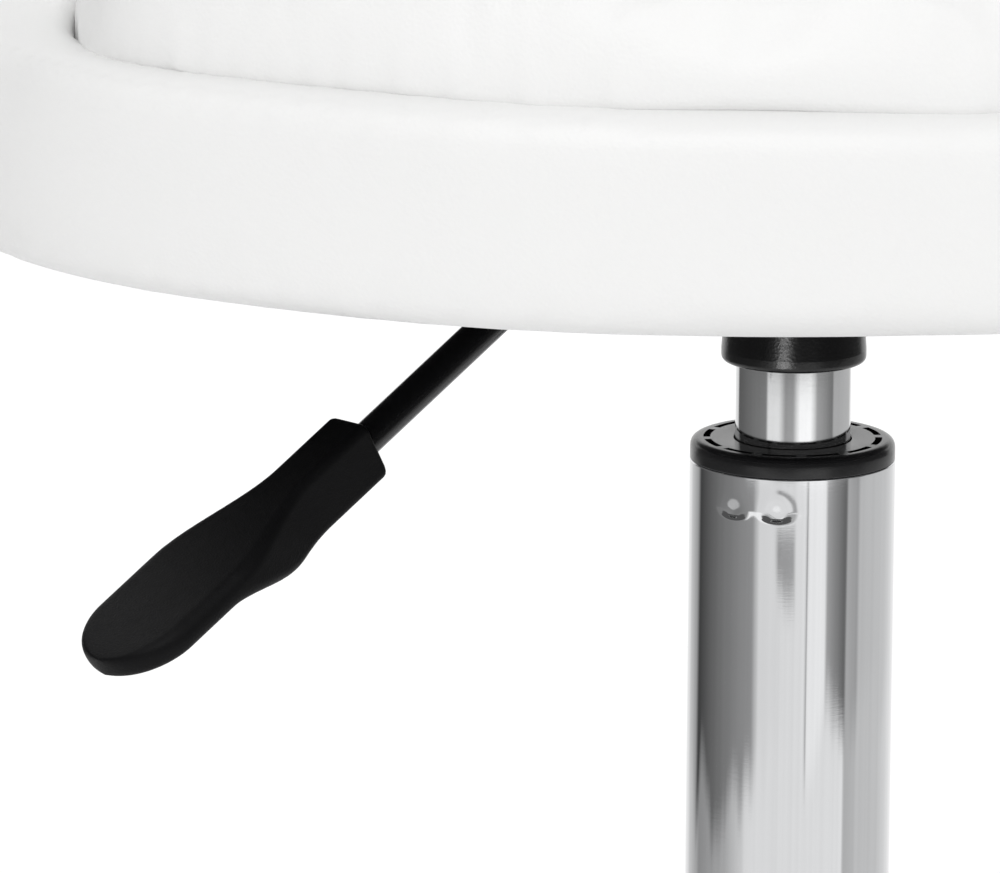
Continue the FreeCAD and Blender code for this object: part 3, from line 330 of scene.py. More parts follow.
def planRows(plan, grow):
    # points of the seat's plan: front arc, corner, side and half-round back, both ways
    half, front, rear, frontRadius, corner = [size + grow for size in plan]
    frontY = frontRadius - front
    cornerX = half - corner
    cornerY = frontY - math.sqrt((frontRadius - corner) ** 2 - cornerX ** 2)
    rearY = rear - half
    swing = math.atan2(cornerX, frontY - cornerY)
    quarter = math.pi / 2
    spots = []

    def arc(x, y, radius, start, end, count):
        for k in range(count):
            a = start + (end - start) * k / count
            spots.append((x + radius * math.cos(a), y + radius * math.sin(a)))

    inFront, inCorner, inSide, inBack = tub["planSteps"]
    arc(0, frontY, frontRadius, -quarter, swing - quarter, inFront)
    arc(cornerX, cornerY, corner, swing - quarter, 0, inCorner)
    spots.extend((half, cornerY + (rearY - cornerY) * k / inSide) for k in range(inSide))
    arc(0, rearY, half, 0, quarter, inBack)
    mirrored = [(-x, y) for x, y in reversed(spots[1:])]
    return np.array(spots + [(0.0, rearY + half)] + mirrored)


def rimHeight(y):
    # side view of the rim: flat lip, hollow, slope and crest
    turn = math.radians(tub["armSlope"])
    low, high, hollow, crest = tub["lipTop"], tub["backTop"], tub["hollow"], tub["crest"]
    run = (high - low - (hollow + crest) * (1 - math.cos(turn))) / math.sin(turn)
    y0 = -tub["armStart"]
    y1 = y0 + hollow * math.sin(turn)
    z1 = low + hollow * (1 - math.cos(turn))
    y2 = y1 + run * math.cos(turn)
    y3 = y2 + crest * math.sin(turn)
    y = np.asarray(y, float)
    inHollow = low + hollow - np.sqrt(np.clip(hollow ** 2 - (y - y0) ** 2, 0, None))
    inCrest = high - crest + np.sqrt(np.clip(crest ** 2 - (y3 - y) ** 2, 0, None))
    return np.where(y < y0, low, np.where(y < y1, inHollow, np.where(
        y < y2, z1 + (y - y1) * math.tan(turn), np.where(y < y3, inCrest, high))))


def wallAt(plan, foot, lean, z):
    return planRows(plan, (z - foot) * math.tan(math.radians(lean)))


def rimEdge(plan, foot, lean, rounds=30):
    # where a leaning wall meets the rim's side view, found point by point
    flat = wallAt(plan, foot, lean, tub["lipTop"])
    steep = wallAt(plan, foot, lean, tub["backTop"])
    z = np.full(len(flat), tub["lipTop"])
    for _ in range(rounds):
        share = ((z - tub["lipTop"]) / (tub["backTop"] - tub["lipTop"]))[:, None]
        spots = flat * (1 - share) + steep * share
        z = rimHeight(spots[:, 1])
    return np.column_stack([spots, z])


def eased(a, b, c, radius, steps, most=0.48):
    # rows of points that round the corner b between a and c
    into, out = a - b, c - b
    lengthIn, lengthOut = np.linalg.norm(into, axis=1), np.linalg.norm(out, axis=1)
    into, out = into / lengthIn[:, None], out / lengthOut[:, None]
    half = np.arccos(np.clip((into * out).sum(1), -1, 1)) / 2
    reach = np.minimum(radius / np.tan(half), np.minimum(lengthIn, lengthOut) * most)[:, None]
    return curveRound(b + into * reach, b, b + out * reach, steps)


def between(a, b, count):
    return [a * (1 - k / count) + b * (k / count) for k in range(1, count)]


def lift(spots, z):
    return np.column_stack([spots, np.full(len(spots), z)])


def tubRows():
    bottom, floor = tub["bottom"], tub["wellBottom"]
    outerFoot = lift(planRows(tub["outer"], 0.0), bottom)
    outerRim = rimEdge(tub["outer"], bottom, tub["flare"])
    innerRim = rimEdge(tub["well"], floor, tub["wellFlare"])
    innerFoot = lift(planRows(tub["well"], 0.0), floor)
    underEdge = lift(planRows(tub["outer"], -tub["underFlat"]), bottom)
    floorEdge = lift(planRows(tub["well"], -tub["floorInset"]), floor)
    under = eased(underEdge, outerFoot, outerRim, tub["underRound"], 8)
    top = eased(outerFoot, outerRim, innerRim, tub["rimOuter"], 6)
    inner = eased(outerRim, innerRim, innerFoot, tub["rimInner"], 6)
    foot = eased(innerRim, innerFoot, floorEdge, tub["footRound"], 3)
    outerWall = between(under[-1], top[0], tub["wallRows"])
    innerWall = between(inner[-1], foot[0], tub["wallRows"])
    return [underEdge] + under + outerWall + top + inner + innerWall + foot + [floorEdge]


def closedTube(name, rows):
    # rows of points joined into a skin, with a cap over the first and last row
    columns = len(rows[0])
    points = np.vstack(rows)
    faces = gridFaces(len(rows), columns)
    for index in (0, len(rows) - 1):
        centre = rows[index].mean(0)
        points = np.vstack([points, centre])
        hub = len(points) - 1
        faces += [(index * columns + k, index * columns + (k + 1) % columns, hub) for k in range(columns)]
    return meshFrom(name, points, faces, 180.0)


def voxelRemesh(piece, size):
    modifier = piece.modifiers.new("even", "REMESH")
    modifier.mode = "VOXEL"
    modifier.voxel_size = size
    applyModifiers(piece)


def applyModifiers(piece):
    graph = bpy.context.evaluated_depsgraph_get()
    mesh = bpy.data.meshes.new_from_object(piece.evaluated_get(graph))
    piece.modifiers.clear()
    piece.data = mesh
    mesh.shade_smooth()


def smoothBy(piece, rounds):
    modifier = piece.modifiers.new("soften", "SMOOTH")
    modifier.factor = 0.5
    modifier.iterations = rounds
    applyModifiers(piece)


def readPoints(mesh):
    flat = np.zeros(len(mesh.vertices) * 3)
    mesh.vertices.foreach_get("co", flat)
    return flat.reshape(-1, 3)


def writePoints(mesh, points):
    mesh.vertices.foreach_set("co", np.ascontiguousarray(points, float).ravel())
    mesh.update()


cloth = dict(quality=5, mass=0.3, tension_stiffness=15.0, compression_stiffness=15.0, shear_stiffness=5.0,
             bending_stiffness=0.8, use_pressure=True, vertex_group_mass="held")


def inflate(piece, pressure, pinned, capped, frames):
    # blows the cover up with cloth, then limits how far each point went
    rest = readPoints(piece.data)
    group = piece.vertex_groups.new(name="held")
    group.add([int(i) for i in np.nonzero(pinned(rest))[0]], 1.0, "REPLACE")
    modifier = piece.modifiers.new("cover", "CLOTH")
    for key, value in cloth.items():
        setattr(modifier.settings, key, value)
    modifier.settings.uniform_pressure_force = pressure
    modifier.settings.effector_weights.gravity = 0.0
    modifier.collision_settings.use_collision = False
    modifier.point_cache.frame_start = 1
    modifier.point_cache.frame_end = frames
    for number in range(1, frames + 1):
        scene.frame_set(number)
        bpy.context.view_layer.update()
    graph = bpy.context.evaluated_depsgraph_get()
    moved = readPoints(piece.evaluated_get(graph).data)
    piece.modifiers.clear()
    piece.vertex_groups.clear()
    step = moved - rest
    far = np.linalg.norm(step, axis=1)
    limit = capped(rest)
    step *= (np.minimum(far, limit) / np.maximum(far, 1e-9))[:, None]
    writePoints(piece.data, rest + step)
    scene.frame_set(1)
    print(piece.name, "cover moved", round(float(far.max()) * 1000, 1), "mm before its limit")


def tubLimit(points):
    # the walls' inner faces are padded more than the outer ones
    x, y, z = points.T
    reach, foot, lean = tub["insideWall"]
    inside = np.hypot(x, np.maximum(y, 0.0)) < reach + (z - foot) * lean
    return np.where(inside, tub["capInside"], tub["cap"])


def tubHeld(points):
    # the underside, and the floor of the well away from its edge, stay where they are
    x, y, z = points.T
    middle = (np.abs(x) < tub["heldHalf"]) & (y > -tub["heldHalf"])
    return (z < tub["bottom"] + tub["heldBottom"]) | ((z < tub["wellBottom"] + tub["heldFloor"]) & middle)


def drawCorners(points, fade, amount=1.0):
    # the padding stands further in at the front corners of the well
    x, y, z = points.T
    far = np.abs(x)
    share = ramp(far, *tub["cornerAcross"]) * ramp(-y, *tub["cornerFront"]) * ramp(y, *tub["cornerBack"])
    share *= ramp(z, *tub["cornerRise"])
    if fade:
        reach, foot, lean = tub["cornerSkin"]
        share *= easeStep((reach + (z - foot) * lean - far) / fade)
    points[:, 0] -= np.sign(x) * tub["cornerIn"] * amount * share


def sagFront(points):
    # the cover hangs a little lower left of the middle of the lip
    x, y, z = points.T
    front, frontRadius = tub["outer"][1], tub["outer"][3]
    margin = frontRadius - np.hypot(x, y - frontRadius + front)
    band, soft = tub["sagBand"]
    edge = easeStep((band - margin) / soft) * easeStep((tub["bottom"] + band - z) / soft)
    bow = np.exp(-((x + tub["sagMiddle"]) / tub["sagWidth"]) ** 2) * (y < tub["sagBack"])
    points[:, 2] -= tub["sag"] * bow * edge


def makeTub():
    piece = addObject("seatTub", closedTube("seatTub", tubRows()))
    voxelRemesh(piece, tub["voxel"])
    smoothBy(piece, tub["smooth"])
    inflate(piece, tub["pressure"], tubHeld, tubLimit, tub["frames"])
    points = readPoints(piece.data)
    sagFront(points)
    drawCorners(points, tub["cornerFade"])
    writePoints(piece.data, points)
    finishPiece(piece, "carriage", ["tub_upholstery"], "white_leatherette")


cushion = dict(voxel=0.004, smooth=3, merge=1e-5, pressure=4.0, frames=20, floor=0.4276, heldFloor=0.001,
               lip=0.4473, lipFlat=0.010, lipRound=0.010, lipReach=0.0085, sink=0.0056, push=0.002,
               pushRise=(0.006, 0.02), dropRise=(0.001, 0.026), capLow=0.0006, capSide=0.0022, capHigh=0.006,
               capBack=-0.15, capRise=0.02, arc=(0.092, 0.27), bend=(0.112, -0.0856, 0.06),
               edgeFront=(0.07, 0.03), edgeBeyond=(-0.001, 0.005), rimBeyond=0.003, rimFront=-0.08,
               sweep=1.1, sweepStep=0.02, sweepCount=111, sweepBlur=7, cornerShare=0.55)


def cushionLimit(points):
    # little room below the lip, some against the walls, and free above
    low = np.where(points[:, 1] > cushion["capBack"], cushion["capSide"], cushion["capLow"])
    return low + (cushion["capHigh"] - low) * ramp(points[:, 2], cushion["lip"], cushion["capRise"])


def cushionHeld(points):
    return points[:, 2] < cushion["floor"] + cushion["heldFloor"]


def beyondWell(points):
    # how far outside the well's outline in plan, and the way out
    far, back = np.abs(points[:, 0]), points[:, 1]
    centre, radius = cushion["arc"]
    aside, behind, turn = cushion["bend"]
    inArc = np.arctan2(far, centre - back) < math.atan2(aside, centre - behind)
    way = np.where(inArc[:, None], np.column_stack([far, back - centre]),
                   np.column_stack([np.maximum(far - aside, 0), np.minimum(back - behind, 0)]))
    length = np.linalg.norm(way, axis=1)
    way = way / np.maximum(length, 1e-6)[:, None]
    way[:, 0] *= np.sign(points[:, 0])
    return length - np.where(inArc, radius, turn), way


def lowestRound(points, beyond):
    # the lowest height of the front edge, by its direction in plan, with small steps smoothed out
    c = cushion
    swing = np.arctan2(points[:, 0], c["arc"][0] - points[:, 1])
    slots = np.clip(np.rint((swing + c["sweep"]) / c["sweepStep"]), 0, c["sweepCount"] - 1).astype(int)
    held = (beyond > c["rimBeyond"]) & (points[:, 1] < c["rimFront"])
    low = np.full(c["sweepCount"], np.inf)
    np.minimum.at(low, slots[held], points[held, 2])
    known = np.flatnonzero(np.isfinite(low))
    low = np.interp(np.arange(c["sweepCount"]), known, low[known])
    blur = c["sweepBlur"]
    low = np.convolve(np.pad(low, blur // 2, mode="edge"), np.full(blur, 1 / blur), "valid")
    return np.interp(swing, np.linspace(-c["sweep"], c["sweep"], c["sweepCount"]), low)


def settleOnLip(points):
    # the front edge is pushed out a little and let down until it lies on the lip
    c = cushion
    beyond, way = beyondWell(points)
    edge = ramp(-points[:, 1], *c["edgeFront"]) * ramp(beyond, *c["edgeBeyond"])
    rise = points[:, 2] - c["lip"]
    points[:, :2] += way * (edge * c["push"] * (1 - ramp(rise, *c["pushRise"])))[:, None]
    beyond = beyondWell(points)[0]
    low = lowestRound(points, beyond)
    past = np.clip(beyond - c["lipFlat"], 0, c["lipReach"])
    surface = c["lip"] - c["lipRound"] + np.sqrt(c["lipRound"] ** 2 - past ** 2)
    drop = np.maximum(low - surface + c["sink"], 0) * edge
    points[:, 2] -= drop * (1 - ramp(points[:, 2] - low, *c["dropRise"]))


def makeCushion():
    shape = shapeFrom(frame["nodes"]["seat_cushion"].data, cushion["merge"])
    piece = addObject("seatCushion", keepShape(shape, bpy.data.meshes.new("seatCushion")))
    voxelRemesh(piece, cushion["voxel"])
    smoothBy(piece, cushion["smooth"])
    inflate(piece, cushion["pressure"], cushionHeld, cushionLimit, cushion["frames"])
    points = readPoints(piece.data)
    points[:, 2] = np.maximum(points[:, 2], cushion["floor"])
    settleOnLip(points)
    drawCorners(points, 0.0, cushion["cornerShare"])
    writePoints(piece.data, points)
    finer = piece.modifiers.new("finer", "SUBSURF")
    finer.levels = finer.render_levels = 1
    applyModifiers(piece)
    finishPiece(piece, "carriage", ["seat_cushion"], "white_leatherette")


makeTub()
makeCushion()
print("soft pieces made")


# Column: chromed tube with two pairs of punched dents

column = dict(bottom=0.0663, hubTop=0.1283, top=0.3253, radius=0.025, foot=0.0245, wall=0.0018, floor=0.0025,
              hole=0.0041, dentWidth=(0.0019, 0.0031), dentWiden=(-0.001, 0.003), dentRise=0.0036, dentFall=0.0006,
              dentDepth=0.00042, dentDrop=0.0099, dentTurn=248.4, dentPitch=26.2, fineBelow=0.004, fineAbove=0.002,
              rows=(8, 34, 34, 40), segments=540, edge=0.0002, edgeSteps=4)


def makeColumn():
    c = column
    dentZ = c["top"] - c["dentDrop"]
    stops = [c["bottom"], c["hubTop"], dentZ - c["fineBelow"], dentZ + c["fineAbove"], c["top"] - c["edge"]]
    levels = [c["bottom"]]
    for low, high, count in zip(stops, stops[1:], c["rows"]):
        levels += list(np.linspace(low, high, count))[1:]
    angles = 2 * np.pi * np.arange(c["segments"]) / c["segments"]

    def ringRow(radius, z):
        return np.column_stack([radius * np.cos(angles), radius * np.sin(angles), np.full(len(angles), z)])

    rows = []
    for z in levels:
        share = easeStep((c["hubTop"] - z) / (c["hubTop"] - c["bottom"]))
        radius = np.full(len(angles), c["radius"] - (c["radius"] - c["foot"]) * share)
        # the punch leaves a long slope above its deepest point and a short one below
        tall = c["dentRise"] if z > dentZ else c["dentFall"]
        narrow, wide = c["dentWidth"]
        width = narrow + (wide - narrow) * ramp(z - dentZ, *c["dentWiden"])
        for turn in (0, 180):
            for side in (-0.5, 0.5):
                centre = math.radians(c["dentTurn"] + turn + side * c["dentPitch"])
                swing = (angles - centre + np.pi) % (2 * np.pi) - np.pi
                away = (swing * c["radius"] / width) ** 2 + ((z - dentZ) / tall) ** 2
                radius -= c["dentDepth"] * np.exp(-away)
        rows.append(ringRow(radius, z))
    edge, inner, floor = c["edge"], c["radius"] - c["wall"], c["bottom"] + c["floor"]
    for a in quarterArc(c["edgeSteps"])[1:]:
        rows.append(ringRow(c["radius"] - edge * (1 - math.cos(a)), c["top"] - edge * (1 - math.sin(a))))
    rows += [ringRow(inner, c["top"]), ringRow(inner, floor), ringRow(c["hole"], floor),
             ringRow(c["hole"], c["bottom"])]
    faces = gridFaces(len(rows), len(angles), wrapRows=True)
    piece = addObject("columnTube", meshFrom("columnTube", np.vstack(rows), faces, 40.0))
    finishPiece(piece, "base", ["column_tube"], "chrome")


makeColumn()


# Ring cap with its row of slots, cut by a node tree

ringCap = dict(bottom=0.3253, top=0.3303, bore=0.0143, outer=0.0249, rounding=0.0022, footEdge=0.0003,
               boreEdge=0.0004, slots=12, slotTurn=23.0, slotPhase=21.0, slotInner=0.0200, slotOuter=0.0217,
               slotDepth=0.003)


def runTree(piece, name, values, slotName, build):
    # a node tree with these inputs shapes the piece, and the result is kept
    tree = bpy.data.node_groups.new(name, "GeometryNodeTree")
    for way in ("INPUT", "OUTPUT"):
        tree.interface.new_socket("Geometry", in_out=way, socket_type="NodeSocketGeometry")
    kinds = {int: "NodeSocketInt", float: "NodeSocketFloat", tuple: "NodeSocketVector"}
    entries = {}
    for label, value in values.items():
        entry = tree.interface.new_socket(label, in_out="INPUT", socket_type=kinds[type(value)])
        entry.default_value = value
        entries[entry.identifier] = value
    shaped = build(tree, addNode(tree, "NodeGroupInput").outputs)
    loose = addNode(tree, "GeometryNodeRealizeInstances", {0: shaped})
    paint = addNode(tree, "GeometryNodeSetMaterial", {
        "Geometry": loose.outputs[0], "Material": materials[slotName]})
    addNode(tree, "NodeGroupOutput", {0: paint.outputs[0]})
    modifier = piece.modifiers.new("nodes", "NODES")
    modifier.node_group = tree
    for key, value in entries.items():
        modifier[key] = value
    applyModifiers(piece)
    piece.data.set_sharp_from_angle(angle=math.radians(35))


def copiesRound(tree, shape, count, first=0.0, place=(0.0, 0.0, 0.0)):
    # copies about the upright axis, one even step of rotation for each
    points = addNode(tree, "GeometryNodePoints", {"Count": count, "Position": place})
    number = addNode(tree, "GeometryNodeInputIndex").outputs[0]
    step = mathNode(tree, "DIVIDE", 2 * math.pi, count)
    angle = mathNode(tree, "ADD", mathNode(tree, "MULTIPLY", number, step), first)
    spin = addNode(tree, "ShaderNodeCombineXYZ", {"Z": angle})
    copies = addNode(tree, "GeometryNodeInstanceOnPoints", {
        "Points": points.outputs[0], "Instance": shape, "Rotation": spin.outputs[0]})
    return copies.outputs[0]


def cutAway(tree, shape, tool):
    loose = addNode(tree, "GeometryNodeRealizeInstances", {0: tool})
    cut = addNode(tree, "GeometryNodeMeshBoolean", operation="DIFFERENCE", solver="EXACT")
    feed(tree, cut.inputs["Mesh 1"], shape)
    feed(tree, cut.inputs["Mesh 2"], loose.outputs[0])
    return cut.outputs["Mesh"]


def cutSlots(tree, inputs):
    arc = addNode(tree, "GeometryNodeCurveArc", {
        "Resolution": 20, "Radius": inputs["Slot radius"], "Sweep Angle": inputs["Slot turn"],
        "Start Angle": inputs["Slot start"]})
    section = addNode(tree, "GeometryNodeCurvePrimitiveQuadrilateral", {
        "Width": inputs["Slot width"], "Height": mathNode(tree, "MULTIPLY", inputs["Slot depth"], 2.0)})
    sweep = addNode(tree, "GeometryNodeCurveToMesh", {
        "Curve": arc.outputs["Curve"], "Profile Curve": section.outputs["Curve"], "Fill Caps": True})
    top = addNode(tree, "ShaderNodeCombineXYZ", {"Z": inputs["Top"]}).outputs[0]
    slots = copiesRound(tree, sweep.outputs["Mesh"], inputs["Slots"], 0.0, top)
    return cutAway(tree, inputs["Geometry"], slots)


def makeRingCap():
    r, b, t = ringCap, ringCap["bottom"], ringCap["top"]
    mesh = turnedMesh("ringCap", [(r["bore"], b, 0), (r["outer"], b, r["footEdge"]),
                                  (r["outer"], t, r["rounding"]), (r["bore"], t, r["boreEdge"])], 192)
    piece = addObject("ringCap", mesh)
    runTree(piece, "ringSlots", {
        "Slots": r["slots"], "Slot radius": (r["slotInner"] + r["slotOuter"]) / 2,
        "Slot width": r["slotOuter"] - r["slotInner"], "Slot depth": r["slotDepth"],
        "Slot turn": math.radians(r["slotTurn"]), "Top": r["top"],
        "Slot start": math.radians(r["slotPhase"] - r["slotTurn"] / 2)}, "ring_plastic", cutSlots)
    finishPiece(piece, "base", ["ring_cap"], "ring_plastic")


makeRingCap()
print("column and ring made")


# Gas cylinder and the black socket under the seat

cylinder = dict(bottom=0.08415, taperStart=0.3496, top=0.3753, radius=0.014, topRadius=0.0133, inner=0.01225,
                valve=0.00405, head=0.010)
socket = dict(bottom=0.3496, collar=0.0176, collarTop=0.003, flare=0.010, waist=0.01735, radius=0.0171,
              neck=0.0155, bracket=0.3683, top=0.3713, rounding=0.0021)


def makeLiftParts():
    c, s = cylinder, socket
    roof, base = c["top"] - c["head"], s["bottom"]
    mesh = turnedMesh("gasCylinder", [
        (c["inner"], c["bottom"], 0), (c["radius"], c["bottom"], 0.0006), (c["radius"], c["taperStart"], 0),
        (c["topRadius"], c["top"], 0.0008), (c["valve"], c["top"], 0.0003), (c["valve"], roof, 0),
        (c["inner"], roof, 0)], 192)
    finishPiece(addObject("gasCylinder", mesh), "carriage", ["gas_cylinder"], "cylinder_steel")
    mesh = turnedMesh("taperSocket", [
        (c["radius"], base, 0), (s["collar"], base, s["rounding"]), (s["collar"], base + s["collarTop"], 0.0012),
        (s["waist"], base + (s["collarTop"] + s["flare"]) / 2, 0.004), (s["radius"], base + s["flare"], 0.004),
        (s["radius"], s["bracket"], 0), (s["neck"], s["bracket"], 0), (s["neck"], s["top"], 0),
        (c["topRadius"] + 0.0001, s["top"], 0)], 192, 8)
    finishPiece(addObject("taperSocket", mesh), "carriage", ["taper_socket"], "black_steel")


makeLiftParts()


# Lever: bent rod and moulded paddle

lever = dict(azimuth=225.0, axis=0.3838, radius=0.004, tail=0.006, inner=0.03, straight=0.075, bend=0.025,
             slope=29.3, reach=0.165, bendSteps=16, sides=40)
handle = dict(start=0.14175, length=0.0895, socketWidth=0.01275, socketDepth=0.0154, socketLength=0.0206,
              shoulder=0.035, width=0.031, thickness=0.00695, underStart=0.0321, underRun=0.0275, tip=0.0044,
              corner=0.0020, paddleCorner=0.0031, mostDeep=0.94, mostWide=0.45, mouth=0.0018, mouthSteps=5,
              straightSteps=80, tipSteps=40, ringCount=96)
turnOut = Matrix.Rotation(math.radians(lever["azimuth"]), 3, "Z")
slope = math.radians(lever["slope"])
along = Vector((math.cos(slope), 0, -math.sin(slope)))
upward = Vector((math.sin(slope), 0, math.cos(slope)))
bendCorner = Vector((lever["straight"] + lever["bend"] * math.tan(slope / 2), 0, lever["axis"]))


def onLever(reach):
    return bendCorner + along * ((reach - bendCorner.x) / along.x)


def makeLeverRod():
    centre = Vector((lever["straight"], 0, lever["axis"] - lever["bend"]))
    path = [Vector((x, 0, lever["axis"])) for x in (-lever["tail"], lever["inner"])]
    for k in range(lever["bendSteps"] + 1):
        a = slope * k / lever["bendSteps"]
        path.append(centre + Vector((math.sin(a), 0, math.cos(a))) * lever["bend"])
    path.append(onLever(lever["reach"]))
    rows, side, radius = [], Vector((0, 1, 0)), lever["radius"]
    for i, spot in enumerate(path):
        ahead = (path[min(i + 1, len(path) - 1)] - path[max(i - 1, 0)]).normalized()
        up = ahead.cross(side)
        rows.append([turnOut @ (spot + side * radius * math.cos(a) + up * radius * math.sin(a))
                     for a in circle(lever["sides"])])
    piece = addObject("leverRod", meshFrom("leverRod", *tubeParts(rows)))
    finishPiece(piece, "lever", ["lever_rod"], "black_steel")


def handleStation(s):
    widen = float(ramp(s, handle["socketLength"], handle["shoulder"]))
    thin = float(ramp(s, handle["underStart"], handle["underRun"]))
    width = handle["socketWidth"] + (handle["width"] - handle["socketWidth"]) * widen
    top = handle["socketDepth"] / 2
    depth = handle["socketDepth"] + (handle["thickness"] - handle["socketDepth"]) * thin
    tipRadius = handle["width"] / 2
    past = max(s - (handle["length"] - tipRadius), 0.0) / tipRadius
    nose = math.sqrt(max(1 - past * past, 0.0))
    trim = (1 - nose) * (handle["thickness"] - handle["tip"]) / 2
    return width * nose, top - trim, top - depth + trim


def makeHandle():
    h = handle
    start, tipRadius, mouth = onLever(h["start"]), h["width"] / 2, h["mouth"]
    straight = h["length"] - tipRadius
    spots = [straight * k / h["straightSteps"] for k in range(h["straightSteps"])]
    spots += [straight + tipRadius * math.sin(a) for a in quarterArc(h["tipSteps"])[:-1]]
    ends = [(mouth * (1 - math.cos(a)), mouth * (1 - math.sin(a))) for a in quarterArc(h["mouthSteps"])[:-1]]
    rows = []
    for s, draw in ends + [(s, 0.0) for s in spots if s > mouth]:
        width, top, bottom = handleStation(s)
        width, top, bottom = width - 2 * draw, top - draw, bottom + draw
        middle, deep = (top + bottom) / 2, (top - bottom) / 2
        blend = float(ramp(s, h["socketLength"], h["shoulder"]))
        corner = h["corner"] + (h["paddleCorner"] - h["corner"]) * blend
        corner = min(corner, h["mostDeep"] * deep, h["mostWide"] * width)
        row = []
        for a in circle(h["ringCount"], 0.5):
            # walk round a rounded box, a quarter at a time
            sx, sz = (1 if math.cos(a) > 0 else -1), (1 if math.sin(a) > 0 else -1)
            share = (a % (math.pi / 2)) / (math.pi / 2)
            across, up = easeCorner(share, width / 2 - corner, deep - corner, corner, sx * sz > 0)
            spot = start + along * s + upward * (middle + sz * up) + Vector((0, sx * across, 0))
            row.append(turnOut @ spot)
        rows.append(row)
    points, faces = tubeParts(rows)
    piece = addObject("leverHandle", meshFrom("leverHandle", points, faces, 50.0))
    finishPiece(piece, "lever", ["lever_handle"], "handle_plastic")


def easeCorner(share, flatAcross, flatUp, corner, rising):
    # a quarter of a rounded box: side, arc, then top, or the other way round
    bow = corner * math.pi / 2
    total = flatAcross + flatUp + bow
    t = share * total if rising else (1 - share) * total
    if t < flatUp:
        return flatAcross + corner, t
    if t < flatUp + bow:
        a = (t - flatUp) / corner
        return flatAcross + corner * math.cos(a), flatUp + corner * math.sin(a)
    return total - t, flatUp + corner


makeLeverRod()
makeHandle()
print("lever made")


# Five-star base: turned hub, and one pressed leg that a node tree repeats

bodyOf = {node: body for body, held in frame["record"]["behaviour"]["bodies"].items() for node in held}
hub = dict(bottom=0.0623, top=0.1283, radius=0.032, chamfer=0.003, foot=0.0245, mouth=0.0251, step=0.0663)
leg = dict(count=5, first=90.0, start=0.016, root=0.0314, tip=0.220, rootWidth=0.030, rootHeight=0.034,
           rootTop=0.1183, tipWidth=0.021, tipHeight=0.017, tipTop=0.0828, wall=0.0025, corner=0.006, edge=0.0005,
           cornerSteps=8, endGap=0.006, stations=10)
boss = dict(radius=0.012, bottom=0.0593, top=0.0843, rounding=0.003, hole=0.005, holeTop=0.0813)


def makeHub():
    h = hub
    waist = h["radius"] - h["chamfer"]
    mesh = turnedMesh("baseHub", [
        (h["foot"], h["bottom"], 0.0004), (waist, h["bottom"], 0.001),
        (h["radius"], h["bottom"] + h["chamfer"], 0.0015), (h["radius"], h["top"] - h["chamfer"], 0.0015),
        (waist, h["top"], 0.001), (h["mouth"], h["top"], 0.0004), (h["foot"], h["step"], 0)], 192)
    finishPiece(addObject("baseHub", mesh), "base", ["base_hub"], "chrome")


def channelRow(reach):
    # outline of the leg square to its run: outer skin over the top, then the inner skin back
    share = (reach - leg["start"]) / (leg["tip"] - leg["start"])
    width, height, top = [leg["root" + key] + (leg["tip" + key] - leg["root" + key]) * share
                          for key in ("Width", "Height", "Top")]
    foot, wall, edge = top - height, leg["wall"], leg["edge"]

    def skin(half, crest, corner):
        line = [(half - corner + corner * math.cos(a), crest - corner + corner * math.sin(a))
                for a in quarterArc(leg["cornerSteps"])]
        return [(-y, z) for y, z in line] + line[::-1]

    half = width / 2
    outer = [(-half, foot + edge)] + skin(half, top, leg["corner"]) + [(half, foot + edge), (half - edge, foot)]
    inner = [(half - wall, foot + edge)] + skin(half - wall, top - wall, leg["corner"] - wall)[::-1]
    loop = outer + [(half - wall + edge, foot)] + inner
    loop += [(wall - half, foot + edge), (wall - half - edge, foot), (edge - half, foot)]
    return [(reach, y, z) for y, z in loop]


def repeatRound(tree, inputs):
    return copiesRound(tree, inputs["Geometry"], inputs["Copies"], inputs["First turn"])


def makeLegs():
    b = boss
    reaches = np.linspace(leg["root"], leg["tip"] - leg["endGap"], leg["stations"])
    channel = tubeParts([channelRow(reach) for reach in reaches])
    spots, sides = turnedParts([
        (b["hole"], b["bottom"], 0.0004), (b["radius"], b["bottom"], 0.0008), (b["radius"], b["top"], b["rounding"]),
        (0.0, b["top"], 0), (0.0, b["holeTop"], 0), (b["hole"], b["holeTop"], 0)], 72)
    stand = ([(x + leg["tip"], y, z) for x, y, z in spots], sides)
    piece = addObject("baseLegs", joinedMesh("baseLegs", [channel, stand]))
    runTree(piece, "legsRound", {"Copies": leg["count"], "First turn": math.radians(leg["first"])}, "chrome",
            repeatRound)
    finishPiece(piece, "base", ["base_leg_%d" % (k + 1) for k in range(leg["count"])], "chrome")


makeHub()
makeLegs()
print("base made")


# Castors: each hood, stem, axle and wheel rides its own body

castor = dict(turn=34.0, trail=0.018, web=0.015, margin=0.009, gap=0.0012, wall=0.0022, arc=165.0, arcSteps=48,
              top=0.057, collar=0.011, collarDrop=0.0036, bore=0.005, webFoot=0.0288, webDrop=0.0004,
              webRound=0.004, webFlat=0.93, webShrink=0.95, edge=0.0008, edgeSteps=4, endDraw=0.7)
wheel = dict(radius=0.025, width=0.0145, edge=0.002, dish=0.0025, boss=0.008, rim=0.006, bore=0.00305, gap=0.001,
             ribs=9, ribWidth=0.0009, ribHeight=0.0016, ribGap=0.001, ribSink=0.0004, ribRound=0.0003)
stem = dict(bottom=0.031, radius=0.00495, flange=0.008, flangeBottom=0.0573, flangeTop=0.0593, top=0.0813)
axle = dict(radius=0.003, half=0.0205)


def boxParts(low, high):
    spots = [(x, y, z) for x in (low[0], high[0]) for y in (low[1], high[1]) for z in (low[2], high[2])]
    return spots, [(0, 1, 3, 2), (4, 6, 7, 5), (0, 4, 5, 1), (2, 3, 7, 6), (0, 2, 6, 4), (1, 5, 7, 3)]


